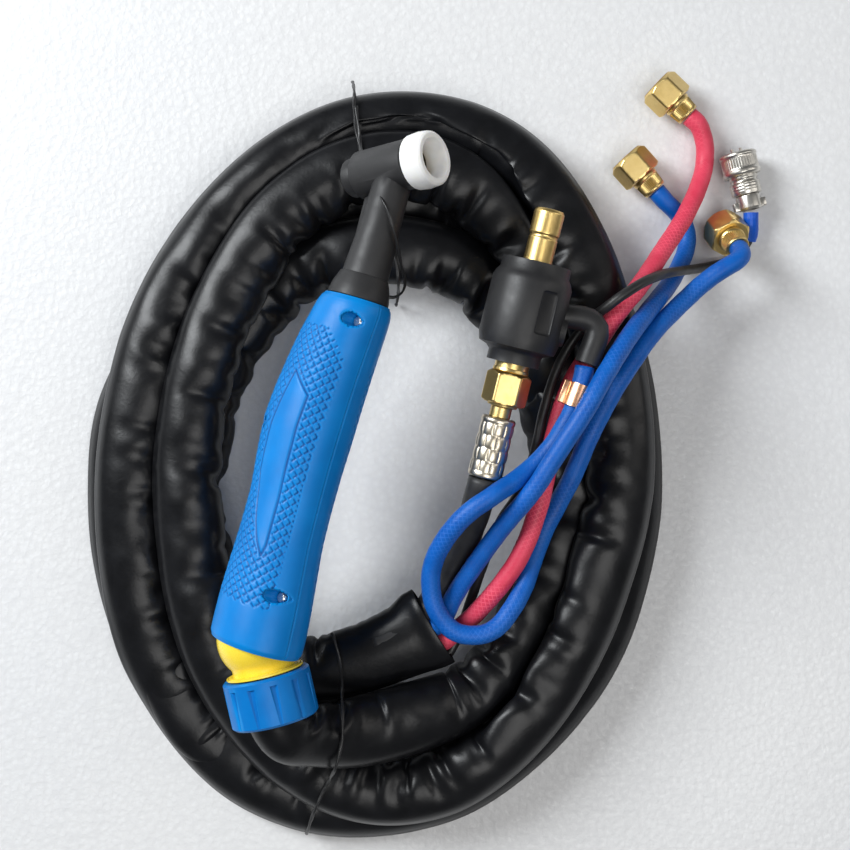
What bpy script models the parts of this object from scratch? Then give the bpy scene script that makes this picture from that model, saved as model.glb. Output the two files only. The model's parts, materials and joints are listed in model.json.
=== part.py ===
"""Water-cooled TIG torch with its hose package.

Frame: metres, +Z up. The origin is on the resting surface, straight below the
centre of the ball joint. The torch lies flat on top of the coiled sleeve, its
head towards +Y.
"""
import bpy
import bmesh
import math
from mathutils import Matrix, Vector

MM = 0.001

# ---- driving dimensions (mm unless said otherwise) -------------------------
AXIS_Z = 72.0            # height of the torch axis and of the ball centre
TORCH_YAW = -16.4        # degrees, handle direction against +Y
TORCH_ROLL = -47.0       # degrees, roll of the handle about its own axis
NUT_YAW = 12.9           # degrees, direction of the ball tail and its nut
CONN_YAW = -13.66        # degrees, direction of the power connector
CONN_PITCH = 4.0         # degrees, its pin end rides up on the coil
HEAD_ANGLE = 72.0        # degrees between handle axis and head axis
HEAD_ROLL = 8.0          # degrees, head turned about the handle axis against the handle
GAP = 0.3                # clearance between touching pieces

BALL_R = 17.0
SOCKET_R = 17.4
BALL_BORE_R = 12.3
HANDLE_Y0, HANDLE_Y1 = -2.9, 147.5
HEAD_Y = 205.5           # head centre on the torch axis
BARREL_R = 10.5
NUT_FRONT, NUT_LEN, NUT_R = 14.9, 20.0, 18.4
COIL_TOP = 44.0
HOSE_R = 4.2
INLET_R = 4.1
POWER_R = 6.7
CONTROL_R = 2.2


# ---- clean start -----------------------------------------------------------
for old in list(bpy.data.objects):
    bpy.data.objects.remove(old, do_unlink=True)

scene = bpy.context.scene
PARTS = bpy.data.collections.new("tig_torch")
CUTS = bpy.data.collections.new("cutters")
scene.collection.children.link(PARTS)
scene.collection.children.link(CUTS)


# ---- materials -------------------------------------------------------------
def material(name, colour, rough=0.5, metal=0.0):
    m = bpy.data.materials.new(name)
    m.use_nodes = True
    b = m.node_tree.nodes["Principled BSDF"]
    b.inputs["Base Color"].default_value = (*colour, 1.0)
    b.inputs["Roughness"].default_value = rough
    b.inputs["Metallic"].default_value = metal
    m.diffuse_color = (*colour, 1.0)
    return m


BLUE = material("blue_plastic", (0.0, 0.26, 0.80), 0.45)
YELLOW = material("yellow_plastic", (0.90, 0.66, 0.07), 0.35)
WHITE = material("white_ptfe", (0.88, 0.87, 0.83), 0.4)
RUBBER = material("black_rubber", (0.025, 0.026, 0.028), 0.6)
SLEEVE = material("black_sleeve", (0.018, 0.019, 0.022), 0.35)
BRASS = material("brass", (0.66, 0.47, 0.17), 0.25, 1.0)
COPPER = material("copper", (0.75, 0.38, 0.22), 0.3, 1.0)
NICKEL = material("nickel", (0.66, 0.64, 0.60), 0.22, 1.0)
CHAMPAGNE = material("plated_ferrule", (0.70, 0.63, 0.52), 0.25, 1.0)
STEEL = material("steel", (0.62, 0.62, 0.62), 0.3, 1.0)
BLUE_HOSE = material("blue_hose", (0.01, 0.12, 0.55), 0.45)
RED_HOSE = material("red_hose", (0.75, 0.06, 0.10), 0.45)
BLACK_CABLE = material("black_cable", (0.02, 0.02, 0.02), 0.5)
GREY = material("grey_plastic", (0.18, 0.18, 0.19), 0.5)
SHRINK = material("blue_shrink", (0.0, 0.08, 0.60), 0.35)


# ---- frames ----------------------------------------------------------------
def frame(name, x, y, z, rx=0.0, ry=0.0, rz=0.0, parent=None):
    e = bpy.data.objects.new(name, None)
    e.location = (x * MM, y * MM, z * MM)
    e.rotation_euler = tuple(math.radians(a) for a in (rx, ry, rz))
    PARTS.objects.link(e)
    if parent is not None:
        e.parent = parent
    return e


TORCH = frame("torch_frame", 0, 0, AXIS_Z, 0, TORCH_ROLL, TORCH_YAW)
TAIL = frame("tail_frame", 0, 0, AXIS_Z, 0, 0, NUT_YAW)
CONN = frame("connector_frame", 112.7, 137.5, 63.0, CONN_PITCH, 0, CONN_YAW)
NECK = frame("neck_frame", 0, HEAD_Y, 0, 0, HEAD_ROLL, 0, TORCH)
HEAD = frame("head_frame", 0, 0, 0, 0, 0, -HEAD_ANGLE, NECK)
GAS_END = frame("gas_end_frame", 192.4, 232.5, 10.4, 0, 0, 46.0)
INLET_END = frame("inlet_end_frame", 177.1, 197.8, 10.4, 0, 0, 42.0)
RETURN_END = frame("return_end_frame", 212.4, 169.5, 23.4, -50, 0, 20.5)
PLUG = frame("plug_frame", 221.2, 189.0, 9.4, 0, 0, 13.6)


# ---- small modelling helpers -----------------------------------------------
def add(name, mesh, mat, parent=None, loc=(0, 0, 0), rot=(0, 0, 0), cutter=False):
    ob = bpy.data.objects.new(name, mesh)
    (CUTS if cutter else PARTS).objects.link(ob)
    if mat is not None:
        mesh.materials.append(mat)
    if parent is not None:
        ob.parent = parent
    ob.location = tuple(c * MM for c in loc)
    ob.rotation_euler = tuple(math.radians(a) for a in rot)
    if cutter:
        ob.hide_render = True
        ob.display_type = "WIRE"
    return ob


def smooth(ob, angle=35.0):
    ob.data.shade_smooth()
    ob.data.set_sharp_from_angle(angle=math.radians(angle))
    return ob


def turned(name, profile, mat, parent=None, loc=(0, 0, 0), rot=(-90, 0, 0), steps=24, cutter=False):
    """Profile points (radius, height) run down the outer side and back up the
    bore; turned about local Z, which the default rotation lays along +Y."""
    closed = profile[0][0] > 1e-6
    me = bpy.data.meshes.new(name)
    bm = bmesh.new()
    vs = [bm.verts.new((r * MM, 0, h * MM)) for r, h in profile]
    for a, b in zip(vs, vs[1:]):
        bm.edges.new((a, b))
    if closed:
        bm.edges.new((vs[-1], vs[0]))
    bm.to_mesh(me)
    bm.free()
    ob = add(name, me, mat, parent, loc, rot, cutter)
    s = ob.modifiers.new("turn", "SCREW")
    s.axis = "Z"
    s.steps = steps
    s.render_steps = steps
    s.use_merge_vertices = True
    s.merge_threshold = 0.00001
    s.use_smooth_shade = False
    return ob


def prism(name, sides, radius, length, mat, parent=None, loc=(0, 0, 0), rot=(-90, 0, 0), twist=0.0, cutter=False, r2=None):
    """Prism or cylinder centred on loc, its axis along local Z of rot."""
    me = bpy.data.meshes.new(name)
    bm = bmesh.new()
    bmesh.ops.create_cone(bm, cap_ends=True, segments=sides, radius1=radius * MM,
                          radius2=(radius if r2 is None else r2) * MM, depth=length * MM)
    bmesh.ops.rotate(bm, verts=bm.verts, matrix=Matrix.Rotation(math.radians(twist), 3, "Z"))
    bm.to_mesh(me)
    bm.free()
    return add(name, me, mat, parent, loc, rot, cutter)


def block(name, size, mat, parent=None, loc=(0, 0, 0), rot=(0, 0, 0), bevel=0.0, cutter=False):
    me = bpy.data.meshes.new(name)
    bm = bmesh.new()
    bmesh.ops.create_cube(bm, size=1.0)
    bmesh.ops.scale(bm, verts=bm.verts, vec=tuple(s * MM for s in size))
    bm.to_mesh(me)
    bm.free()
    ob = add(name, me, mat, parent, loc, rot, cutter)
    if bevel:
        b = ob.modifiers.new("edge", "BEVEL")
        b.width = bevel * MM
        b.segments = 2
    return ob


def ball(name, radius, mat, parent=None, loc=(0, 0, 0), seg=28, ring=16, cutter=False):
    me = bpy.data.meshes.new(name)
    bm = bmesh.new()
    bmesh.ops.create_uvsphere(bm, u_segments=seg, v_segments=ring, radius=radius * MM)
    bm.to_mesh(me)
    bm.free()
    return add(name, me, mat, parent, loc, (0, 0, 0), cutter)


def cut(ob, *cutters, op="DIFFERENCE"):
    for c in cutters:
        m = ob.modifiers.new("cut_" + c.name[:20], "BOOLEAN")
        m.operation = op
        m.solver = "EXACT"
        m.object = c
    return ob


def catmull(points, per=12):
    """Smooth curve through the route's own points."""
    p = [Vector(q) for q in points]
    q = [2 * p[0] - p[1]] + p + [2 * p[-1] - p[-2]]
    out = []
    for i in range(1, len(q) - 2):
        a, b, c, d = q[i - 1:i + 3]
        for k in range(per):
            t = k / per
            out.append(0.5 * (2 * b + (c - a) * t + (2 * a - 5 * b + 4 * c - d) * t * t
                              + (3 * b - a - 3 * c + d) * t ** 3))
    out.append(q[-2])
    return out


def even(points, step):
    """The same line with a point every `step`."""
    s = [0.0]
    for a, b in zip(points, points[1:]):
        s.append(s[-1] + (b - a).length)
    n = max(2, round(s[-1] / step))
    out, j = [], 0
    for i in range(n + 1):
        d = s[-1] * i / n
        while j < len(s) - 2 and s[j + 1] < d:
            j += 1
        f = (d - s[j]) / max(1e-9, s[j + 1] - s[j])
        out.append(points[j].lerp(points[j + 1], min(1.0, max(0.0, f))))
    return out


def tube(name, route, radius, mat, step=None, trim=(0.0, 0.0), res=3):
    """Round cord on a smooth route (mm), its ends trimmed for the pieces it meets."""
    line = even(catmull(route), 0.5)
    n0, n1 = int(trim[0] / 0.5), int(trim[1] / 0.5)
    line = line[n0:len(line) - n1]
    line = even(line, step or radius * 4.6)
    cu = bpy.data.curves.new(name, "CURVE")
    cu.dimensions = "3D"
    sp = cu.splines.new("POLY")
    sp.points.add(len(line) - 1)
    for p, q in zip(sp.points, line):
        p.co = (q.x * MM, q.y * MM, q.z * MM, 1.0)
    cu.bevel_depth = radius * MM
    cu.bevel_resolution = res
    cu.use_fill_caps = True
    cu.materials.append(mat)
    ob = bpy.data.objects.new(name, cu)
    PARTS.objects.link(ob)
    return ob


def wire(name, points, radius, mat, parent=None, res=2):
    cu = bpy.data.curves.new(name, "CURVE")
    cu.dimensions = "3D"
    sp = cu.splines.new("POLY")
    sp.points.add(len(points) - 1)
    for p, q in zip(sp.points, points):
        p.co = (q[0] * MM, q[1] * MM, q[2] * MM, 1.0)
    cu.bevel_depth = radius * MM
    cu.bevel_resolution = res
    cu.use_fill_caps = True
    cu.materials.append(mat)
    ob = bpy.data.objects.new(name, cu)
    PARTS.objects.link(ob)
    if parent is not None:
        ob.parent = parent
    return ob


def loft(name, rings, mat, parent=None, cutter=False, closed=False):
    """Skin over rings of equal point count (mm); end rings are capped unless
    the skin closes on itself."""
    me = bpy.data.meshes.new(name)
    bm = bmesh.new()
    rows = [[bm.verts.new(tuple(c * MM for c in p)) for p in ring] for ring in rings]
    n = len(rings[0])
    pairs = list(zip(rows, rows[1:]))
    if closed:
        pairs.append((rows[-1], rows[0]))
    for a, b in pairs:
        for i in range(n):
            j = (i + 1) % n
            bm.faces.new((a[i], a[j], b[j], b[i]))
    if not closed:
        bm.faces.new(list(reversed(rows[0])))
        bm.faces.new(rows[-1])
    bmesh.ops.recalc_face_normals(bm, faces=bm.faces)
    bm.to_mesh(me)
    bm.free()
    return add(name, me, mat, parent, cutter=cutter)


# ---- handle ----------------------------------------------------------------
# (station along the axis, centre shift towards the spine, mean half width)
HANDLE = [(-2.9, 0.0, 18.9), (4, -0.5, 19.1), (14, -1.4, 18.9), (28, -2.6, 18.0),
          (44, -3.9, 17.0), (60, -4.6, 16.8), (76, -6.2, 17.7), (90, -7.0, 18.5),
          (104, -6.2, 18.0), (118, -4.6, 17.2), (130, -2.8, 16.4), (140, -0.8, 15.4),
          (145, 0.1, 14.7), (147.5, 0.4, 13.4)]
WIDE, TALL = 1.06, 0.95


def handle_ring(y, shift, w, n=28, inset=0.0):
    a, b = w * WIDE - inset, w * TALL - inset
    return [(shift + a * math.cos(2 * math.pi * k / n), y, b * math.sin(2 * math.pi * k / n))
            for k in range(n)]


def handle_at(y):
    for (y0, s0, w0), (y1, s1, w1) in zip(HANDLE, HANDLE[1:]):
        if y0 <= y <= y1:
            f = (y - y0) / (y1 - y0)
            return s0 + f * (s1 - s0), w0 + f * (w1 - w0)
    return HANDLE[-1][1:]


CAVITY = [24, 36, 50, 64, 78, 90, 104, 118, 130, 137]
cavity = loft("cut_cavity", [handle_ring(y, *handle_at(y), n=20, inset=2.4) for y in CAVITY],
              None, TORCH, cutter=True)
socket = ball("cut_socket", SOCKET_R, None, TORCH, seg=28, ring=18, cutter=True)
bore = prism("cut_handle_bore", 20, 11.0, 60, None, TORCH, (0, 20, 0), cutter=True)
nose = prism("cut_handle_nose", 24, 10.2, 40, None, TORCH, (0, 150, 0), cutter=True)

SCREWS = [(11.4, 138.5), (14.3, 21.5), (-17.6, 88.0)]      # x, y on the torch


def half_space(name, side):
    return block(name, (90, 200, 60), None, TORCH, (0, 70, side * (30 + 0.1)), cutter=True)


def screw_cut(i, x, y):
    """Counterbore from the front shell's face, pilot into the back shell."""
    deep = turned("cut_screw_%d" % i, [(0, 26), (2.7, 26), (2.7, 3.4), (1.7, 3.4), (1.7, -6.6), (0, -6.6)],
                  None, TORCH, (x, y, 0), (0, 0, 0), steps=14, cutter=True)
    return deep


screw_cutters = [screw_cut(i + 1, x, y) for i, (x, y) in enumerate(SCREWS)]

# bosses that carry the screws inside the shells are left standing by cutting
# the cavity only around them
bosses = [prism("boss_%d" % (i + 1), 14, 4.6, 60, None, TORCH, (x, y, 0), (0, 0, 0), cutter=True)
          for i, (x, y) in enumerate(SCREWS)]
cut(cavity, *bosses)

BUTTON_Y, BUTTON_L, BUTTON_W = 113.0, 20.0, 9.0
bs, bw = handle_at(BUTTON_Y)
BUTTON_X = bs - bw * WIDE             # outer face of the spine at the button
button_hole = block("cut_button", (14, BUTTON_L + 0.8, BUTTON_W + 0.8), None, TORCH,
                    (BUTTON_X + 1.0, BUTTON_Y, 0), bevel=1.2, cutter=True)


def shell(name, side):
    rings = [handle_ring(*row) for row in HANDLE]
    ob = loft(name, rings, BLUE, TORCH)
    cut(ob, half_space("keep_" + name, side), op="INTERSECT")
    cut(ob, cavity, socket, bore, nose, button_hole, *screw_cutters)
    return smooth(ob)


shell_front = shell("handle_shell_front", 1)
shell_back = shell("handle_shell_back", -1)

for i, (x, y) in enumerate(SCREWS):
    turned("handle_screw_%d" % (i + 1),
           [(0, 6.2), (1.9, 6.2), (2.4, 5.6), (2.4, 3.7), (1.35, 3.7), (1.35, -5.8), (0, -6.3)],
           STEEL, TORCH, (x, y, 0), (0, 0, 0), steps=14)

# ---- torch body: neck and head barrel in one rubber moulding ----------------
neck_rows = [(158.2, 0.6, 10.0), (165, 0.8, 9.6), (180, 0.8, 8.6), (194, 0.6, 8.2), (HEAD_Y, 0.0, 8.6)]
neck = loft("torch_body", [[(s + r * math.cos(2 * math.pi * k / 24), y, r * math.sin(2 * math.pi * k / 24))
                            for k in range(24)] for y, s, r in neck_rows], RUBBER, TORCH)
barrel = turned("join_barrel", [(0, 10.2), (9.2, 10.2), (BARREL_R, 9.0), (BARREL_R, -17.4), (9.8, -18.2), (0, -18.2)],
                None, HEAD, steps=28, cutter=True)
rib = block("join_rib", (4.2, 22, 5.0), None, TORCH, (-9.6, 184.0, 0), (0, 0, 3.0), bevel=1.0, cutter=True)
root_boss = prism("join_root", 20, 9.4, 16, None, TORCH, (0.3, 152.0, 0), cutter=True)
head_bore = turned("cut_head_bore", [(0, 12), (7.3, 12), (7.3, 3.0), (5.8, 3.0), (5.8, -11.0), (6.6, -11.0), (6.6, -20), (0, -20)],
                   None, HEAD, steps=24, cutter=True)
cut(neck, barrel, rib, root_boss, op="UNION")
cut(neck, head_bore)
smooth(neck)

turned("neck_collar", [(9.95, 158.0), (10.4, 158.2), (12.4, 153.0), (13.2, 149.2), (13.2, 147.9), (9.75, 147.9)],
       RUBBER, TORCH, (0.3, 0, 0), steps=24)

turned("head_insert", [(3.2, 8.8), (6.9, 8.8), (6.9, 3.3), (5.5, 3.3), (5.5, -10.6), (3.9, -10.6), (3.9, 0.5), (3.2, 0.5)],
       BRASS, HEAD, steps=20)
turned("insulator_ring", [(8.6, 20.6), (10.4, 20.6), (11.4, 19.6), (11.9, 15.0), (11.5, 10.5), (7.0, 10.5), (6.1, 12.0), (6.1, 17.2)],
       WHITE, HEAD, steps=28)
turned("back_cap", [(0, -18.8), (8.2, -18.8), (8.4, -19.4), (8.4, -23.4), (7.2, -24.8), (0, -25.2)],
       RUBBER, HEAD, steps=24)
cap_stem = prism("join_cap_stem", 18, 4.9, 9.0, None, HEAD, (0, -15.2, 0), cutter=True)
cut(bpy.data.objects["back_cap"], cap_stem, op="UNION")
turned("back_cap_oring", [(5.3, -13.6), (6.2, -13.6), (6.4, -14.4), (6.2, -15.2), (5.3, -15.2)],
       BLACK_CABLE, HEAD, steps=20)

# metal pipes behind the neck, inside the handle, and the hose ends on them
PIPES = [("power", -3.6, 0.0, 3.2, 5.6, COPPER, BLACK_CABLE),
         ("water", 5.2, 4.5, 1.8, 3.3, BRASS, BLUE_HOSE),
         ("gas", 5.2, -4.5, 1.8, 3.3, BRASS, RED_HOSE)]
for label, x, z, r, hose_r, mat_pipe, mat_hose in PIPES:
    prism(label + "_pipe", 14, r, 36.0, mat_pipe, TORCH, (x, 125.6, z))
    turned(label + "_tail", [(r + 0.3, 122.0), (hose_r, 122.0), (hose_r, 62.0), (r + 0.3, 62.0)],
           mat_hose, TORCH, (x, 0, z), steps=14)

# switch under the button
button = block("trigger_button", (4.6, BUTTON_L, BUTTON_W), RUBBER, TORCH,
               (BUTTON_X + 1.0, BUTTON_Y, 0), bevel=1.2)
block("micro_switch", (5.0, 16, 6.4), GREY, TORCH, (BUTTON_X + 9.6, BUTTON_Y, 0), bevel=0.4)
spring_pts = []
for k in range(0, 3 * 10 + 1):
    a = 2 * math.pi * k / 10
    spring_pts.append((BUTTON_X + 4.0 + 1.2 + 1.5 * k / 30, BUTTON_Y + 1.6 * math.cos(a), 1.6 * math.sin(a)))
wire("trigger_spring", spring_pts, 0.22, STEEL, TORCH, res=1)

# ---- ball joint ------------------------------------------------------------
def ball_profile():
    """Dome, neck, flange and threaded tail of the ball (height is forward)."""
    pts = []
    top = math.acos(BALL_BORE_R / BALL_R)
    low = -math.acos(13.4 / BALL_R)
    n = 12
    for k in range(n + 1):
        a = top + (low - top) * k / n
        pts.append((BALL_R * math.cos(a), BALL_R * math.sin(a)))
    pts += [(13.2, -13.0), (15.2, -13.2), (15.2, -14.5), (13.0, -14.6), (13.0, -22.0), (BALL_BORE_R - 1.3, -22.0),
            (BALL_BORE_R - 1.3, -12.0), (BALL_BORE_R, -9.0)]
    return pts


turned("swivel_ball", ball_profile(), YELLOW, TAIL, steps=32)
turned("ball_clip", [(15.6, -13.5), (16.3, -13.5), (16.3, -14.3), (15.6, -14.3)], YELLOW, TAIL, steps=28)
turned("hose_guide", [(9.0, 4.0), (11.0, 3.0), (11.0, -3.0), (9.0, -4.0)], GREY, TAIL, steps=24)

FLUTES = 12
nut = turned("clamp_nut", [(14.2, -NUT_FRONT), (NUT_R - 0.9, -NUT_FRONT), (NUT_R, -NUT_FRONT - 0.9),
                           (NUT_R, -NUT_FRONT - NUT_LEN + 1.0), (NUT_R - 1.0, -NUT_FRONT - NUT_LEN),
                           (15.3, -NUT_FRONT - NUT_LEN), (15.3, -NUT_FRONT - NUT_LEN + 3.0), (14.2, -NUT_FRONT - NUT_LEN + 6.0)],
             BLUE, TAIL, steps=48)
flute_mesh = None
for k in range(FLUTES):
    a = 2 * math.pi * (k + 0.5) / FLUTES
    x, z = (NUT_R + 1.15) * math.cos(a), (NUT_R + 1.15) * math.sin(a)
    f = prism("cut_flute_%02d" % k, 8, 1.3, 18.5, None, TAIL, (x, -NUT_FRONT - 12.2, z), cutter=True, r2=2.2)
    cut(nut, f)
smooth(nut)
turned("sleeve_clamp_ring", [(12.6, -23.2), (13.9, -23.2), (13.9, -27.6), (12.6, -27.6)], GREY, TAIL, steps=20)

# ---- sleeve ----------------------------------------------------------------
def flat_section(c, side, up, half_w, half_t, n=16, power=2.4):
    out = []
    for k in range(n):
        a = 2 * math.pi * k / n
        ca, sa = math.cos(a), math.sin(a)
        u = math.copysign(abs(ca) ** (2 / power), ca) * half_w
        v = math.copysign(abs(sa) ** (2 / power), sa) * half_t
        out.append(tuple(c + side * u + up * v))
    return out


# Outline of the coil: its outer edge and its eye, each read as a smooth closed
# line through a few stations, then a flat-footed ring with round shoulders.
COIL_OUT = [(60, 240), (10, 232), (-32, 203), (-62, 162), (-79, 112), (-83, 61), (-77, 20), (-61, -25),
            (-27, -67), (8, -86), (45, -95), (82, -88), (116, -66), (150, -34), (170, 6), (177, 50),
            (176, 98), (164, 143), (146, 184), (122, 217), (94, 234)]
COIL_EYE = [(52, 146), (28, 147), (6, 140), (-12, 120), (-23, 98), (-27, 72), (-26, 50), (-21, 28),
            (-10, 14), (7, 8), (26, 3), (46, -1), (70, -6), (92, -9), (108, -2), (121, 14),
            (130, 36), (128, 62), (112, 88), (98, 116), (78, 138)]


def closed_line(points, n):
    p = [Vector((x, y, 0)) for x, y in points]
    m = len(p)
    out = []
    for k in range(n):
        f = k * m / n
        i, t = int(f) % m, f - int(f)
        a, b, c, d = p[i - 1], p[i], p[(i + 1) % m], p[(i + 2) % m]
        out.append(0.5 * (2 * b + (c - a) * t + (2 * a - 5 * b + 4 * c - d) * t * t
                          + (3 * b - a - 3 * c + d) * t ** 3))
    return out


def coil_rings(n=56, grow=0.0, top=COIL_TOP):
    rings = []
    for o, e in zip(closed_line(COIL_OUT, n), closed_line(COIL_EYE, n)):
        d = (o - e).normalized()
        w = (o - e).length
        prof = [(0.0 - grow, 7.0), (2.0 - grow, -grow * 3), (w - 3.0 + grow, -grow * 3), (w + grow, 8.0),
                (w + grow, 24.0), (w - 9.0 + grow, top - 5.0), (w - 22.0, top + grow), (16.0, top + grow),
                (5.0 - grow, top - 4.0), (0.0 - grow, 22.0)]
        rings.append([tuple(e + d * r + Vector((0, 0, z))) for r, z in prof])
    return rings


coil = loft("sleeve_coil", coil_rings(), SLEEVE, closed=True)
coil_grown = loft("cut_coil_grown", coil_rings(grow=GAP + 0.1), None, closed=True, cutter=True)
MOUTH_AT = Vector((73.6, 0.4, 36.0))
MOUTH_DIR = Vector((0.979, 0.204, 0.0))
pocket = block("cut_mouth_pocket", (88, 58, 40), None, None, (52.0, -8.0, 47.4), (0, 0, 8), cutter=True)
cut(coil, pocket)

# open end of the sleeve, lying in the pocket
mouth_line = [Vector((14.5, -20, 36)), Vector((28, -16.5, 36)), Vector((44, -10.5, 36)), Vector((60, -4.0, 36)), MOUTH_AT]
mouth_rings = []
for i, c in enumerate(mouth_line):
    d = (mouth_line[min(i + 1, 4)] - mouth_line[max(i - 1, 0)]).normalized()
    if i == 4:
        d = MOUTH_DIR
    side = Vector((0, 0, 1)).cross(d).normalized()
    mouth_rings.append(flat_section(c, side, Vector((0, 0, 1)), (15.5, 14.5, 16.5, 18.0, 18.4)[i], 8.0))
loft("sleeve_mouth", mouth_rings, SLEEVE)

# lead of the sleeve, from the clamp nut down onto the coil
tail_dir = Matrix.Rotation(math.radians(NUT_YAW), 3, "Z") @ Vector((0, -1, 0))
lead_line = [Vector((0, 0, AXIS_Z)) + tail_dir * d for d in (28.6, 36.0)]
lead_line += [Vector((13.0, -44.0, 68.5)), Vector((22.0, -51.0, 60.5)), Vector((34.0, -57.0, 52.0)), Vector((48.0, -61.0, 44.0))]
lead_rings = []
for i, c in enumerate(lead_line):
    d = (lead_line[min(i + 1, 5)] - lead_line[max(i - 1, 0)]).normalized()
    side = Vector((0, 0, 1)).cross(d).normalized()
    up = d.cross(side).normalized()
    hw, ht = [(11.9, 11.9), (13.6, 13.6), (15.5, 12.0), (17.5, 10.5), (18.5, 9.5), (18.5, 9.0)][i]
    lead_rings.append(flat_section(c, side, up, hw, ht, power=2.0 + 0.1 * i))
lead = loft("sleeve_lead", lead_rings, SLEEVE)
cut(lead, coil_grown)


def tie_path(x0, y0, x1, y1, top, legs=(2.5, 2.5), n=9, drop=(14.0, 14.0)):
    """Wire that climbs one side of the coil, crosses its top and comes down the other."""
    a, b = Vector((x0, y0, 0)), Vector((x1, y1, 0))
    d = (b - a).normalized()
    pts = [a - d * legs[0] + Vector((0, 0, 1.2)), a - d * legs[0] + Vector((0, 0, top - 20))]
    for k in range(n + 1):
        f = k / n
        h = top - drop[int(f > 0.5)] * max(0.0, abs(2 * f - 1) - 0.72) / 0.28
        pts.append(a.lerp(b, f) + Vector((0, 0, h)))
    pts += [b + d * legs[1] + Vector((0, 0, top - 20)), b + d * legs[1] + Vector((0, 0, 1.2))]
    return pts


wire("coil_tie_top", tie_path(38.0, 240.5, 44.0, 144.5, COIL_TOP + 1.6, drop=(14.0, 5.0)), 0.8, BLACK_CABLE)
wire("coil_tie_bottom", tie_path(17.5, -93.0, 31.2, 1.4, COIL_TOP + 1.9, legs=(2.5, 3.2), drop=(14.0, 0.3)), 0.8, BLACK_CABLE)

# thin tie wrapped round the neck, its loop lying along it
neck_tie = []
for k in range(0, 15):
    a = 2 * math.pi * (k / 14 * 0.94 + 0.03)
    neck_tie.append((0.9 + 10.6 * math.cos(a), 170.0 + 3.0 * math.cos(a), 10.6 * math.sin(a)))
wire("neck_tie", neck_tie, 0.7, BLACK_CABLE, TORCH)

# ---- power connector -------------------------------------------------------
# local +Y of the connector frame points to the plug pin
turned("plug_pin", [(0, 44.2), (5.9, 44.2), (6.5, 43.4), (6.5, 21.6), (4.6, 21.6), (4.6, 10.0), (0, 10.0)],
       BRASS, CONN, steps=24)
key = block("cut_pin_key", (3.0, 9.0, 3.2), None, CONN, (6.6, 37.0, 1.0), cutter=True)
cut(bpy.data.objects["plug_pin"], key)
turned("connector_core", [(0, 9.6), (11.0, 9.6), (11.0, -17.0), (7.4, -18.6), (7.4, -25.6), (0, -25.6)],
       BRASS, CONN, steps=24)
boot = turned("rubber_boot", [(0, 21.2), (14.8, 21.2), (15.0, 20.4), (15.0, 17.0), (16.2, 15.2), (17.2, 12.8), (17.4, -11.8),
                              (16.4, -15.6), (12.0, -17.2), (11.4, -18.0), (11.4, -22.6), (0, -22.6)],
              RUBBER, CONN, steps=32)
for k in range(4):
    a = math.radians(62 - 68 * k)
    s = block("cut_boot_slot_%d" % k, (6.0, 19.0, 8.4), None, CONN,
              (19.0 * math.cos(a), 1.0, 19.0 * math.sin(a)), (0, -math.degrees(a), 0), bevel=1.6, cutter=True)
    if k != 1:
        cut(boot, s)
# the elbow of the boot: out of its side, then round to the hose
inv = (Matrix.Rotation(math.radians(CONN_YAW), 3, "Z") @ Matrix.Rotation(math.radians(CONN_PITCH), 3, "X")).inverted()


def to_conn(x, y, z):
    return inv @ Vector((x - 112.7, y - 137.5, z - 63.0))


elbow_pts = [to_conn(*p) for p in ((124.0, 135.6, 62), (133.0, 135.4, 62), (140.0, 133.9, 62), (143.2, 130.2, 62), (142.6, 125.5, 62), (140.8, 120.6, 62), (138.9, 115.4, 62))]
elbow_line = even(catmull([tuple(p) for p in elbow_pts], 6), 2.6)


def tube_mesh(name, line, radius, parent, cutter=True, n=14, mat=None):
    rings = []
    m = len(line)
    for i, c in enumerate(line):
        d = (line[min(i + 1, m - 1)] - line[max(i - 1, 0)]).normalized()
        side = Vector((0, 0, 1)).cross(d).normalized()
        up = d.cross(side)
        rings.append([tuple(c + side * (radius * math.cos(2 * math.pi * k / n)) + up * (radius * math.sin(2 * math.pi * k / n)))
                      for k in range(n)])
    return loft(name, rings, mat, parent, cutter=cutter)


elbow = tube_mesh("join_elbow", elbow_line, 5.3, CONN)
saddle = prism("join_saddle", 20, 8.0, 8.0, None, CONN, (14.6, -4.8, 0), (0, 90, 0), cutter=True, r2=6.0)
barb_line = even(catmull([tuple(p) for p in elbow_pts], 6), 2.6)
barb_cut = tube_mesh("cut_elbow_bore", barb_line, 3.4, CONN, n=12)
core_cut = turned("cut_boot_core", [(0, 30), (6.9, 30), (6.9, 9.9), (11.4, 9.9), (11.4, -17.0), (7.8, -18.6), (7.8, -30), (0, -30)],
                  None, CONN, steps=24, cutter=True)
cut(boot, elbow, saddle, op="UNION")
cut(boot, core_cut, barb_cut)
smooth(boot)
water_line = even(catmull([tuple(p) for p in elbow_pts[1:]], 6), 2.8)
tube_mesh("water_barb", water_line, 2.9, CONN, cutter=False, n=12, mat=BRASS)

# power nut, its tail pipe and the crimped ferrule on the cable
turned("power_nut_blank", [(6.5, -26.0), (9.9, -26.0), (9.9, -41.2), (6.5, -41.2)], BRASS, CONN, steps=6)
bpy.data.objects["power_nut_blank"].name = "power_nut"
turned("power_tail_pipe", [(0, -26.2), (5.2, -26.2), (5.2, -41.6), (4.6, -41.8), (4.6, -46.2), (0, -46.2)], BRASS, CONN, steps=20)
fer = [(0, -46.5), (6.6, -46.5)]
for k in range(4):
    y = -48.0 - 6.0 * k
    fer += [(7.2, y), (7.4, y - 1.2), (7.0, y - 3.0), (7.4, y - 4.8)]
fer += [(7.2, -72.0), (0, -72.0)]
turned("power_ferrule", fer, CHAMPAGNE, CONN, steps=8)

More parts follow.
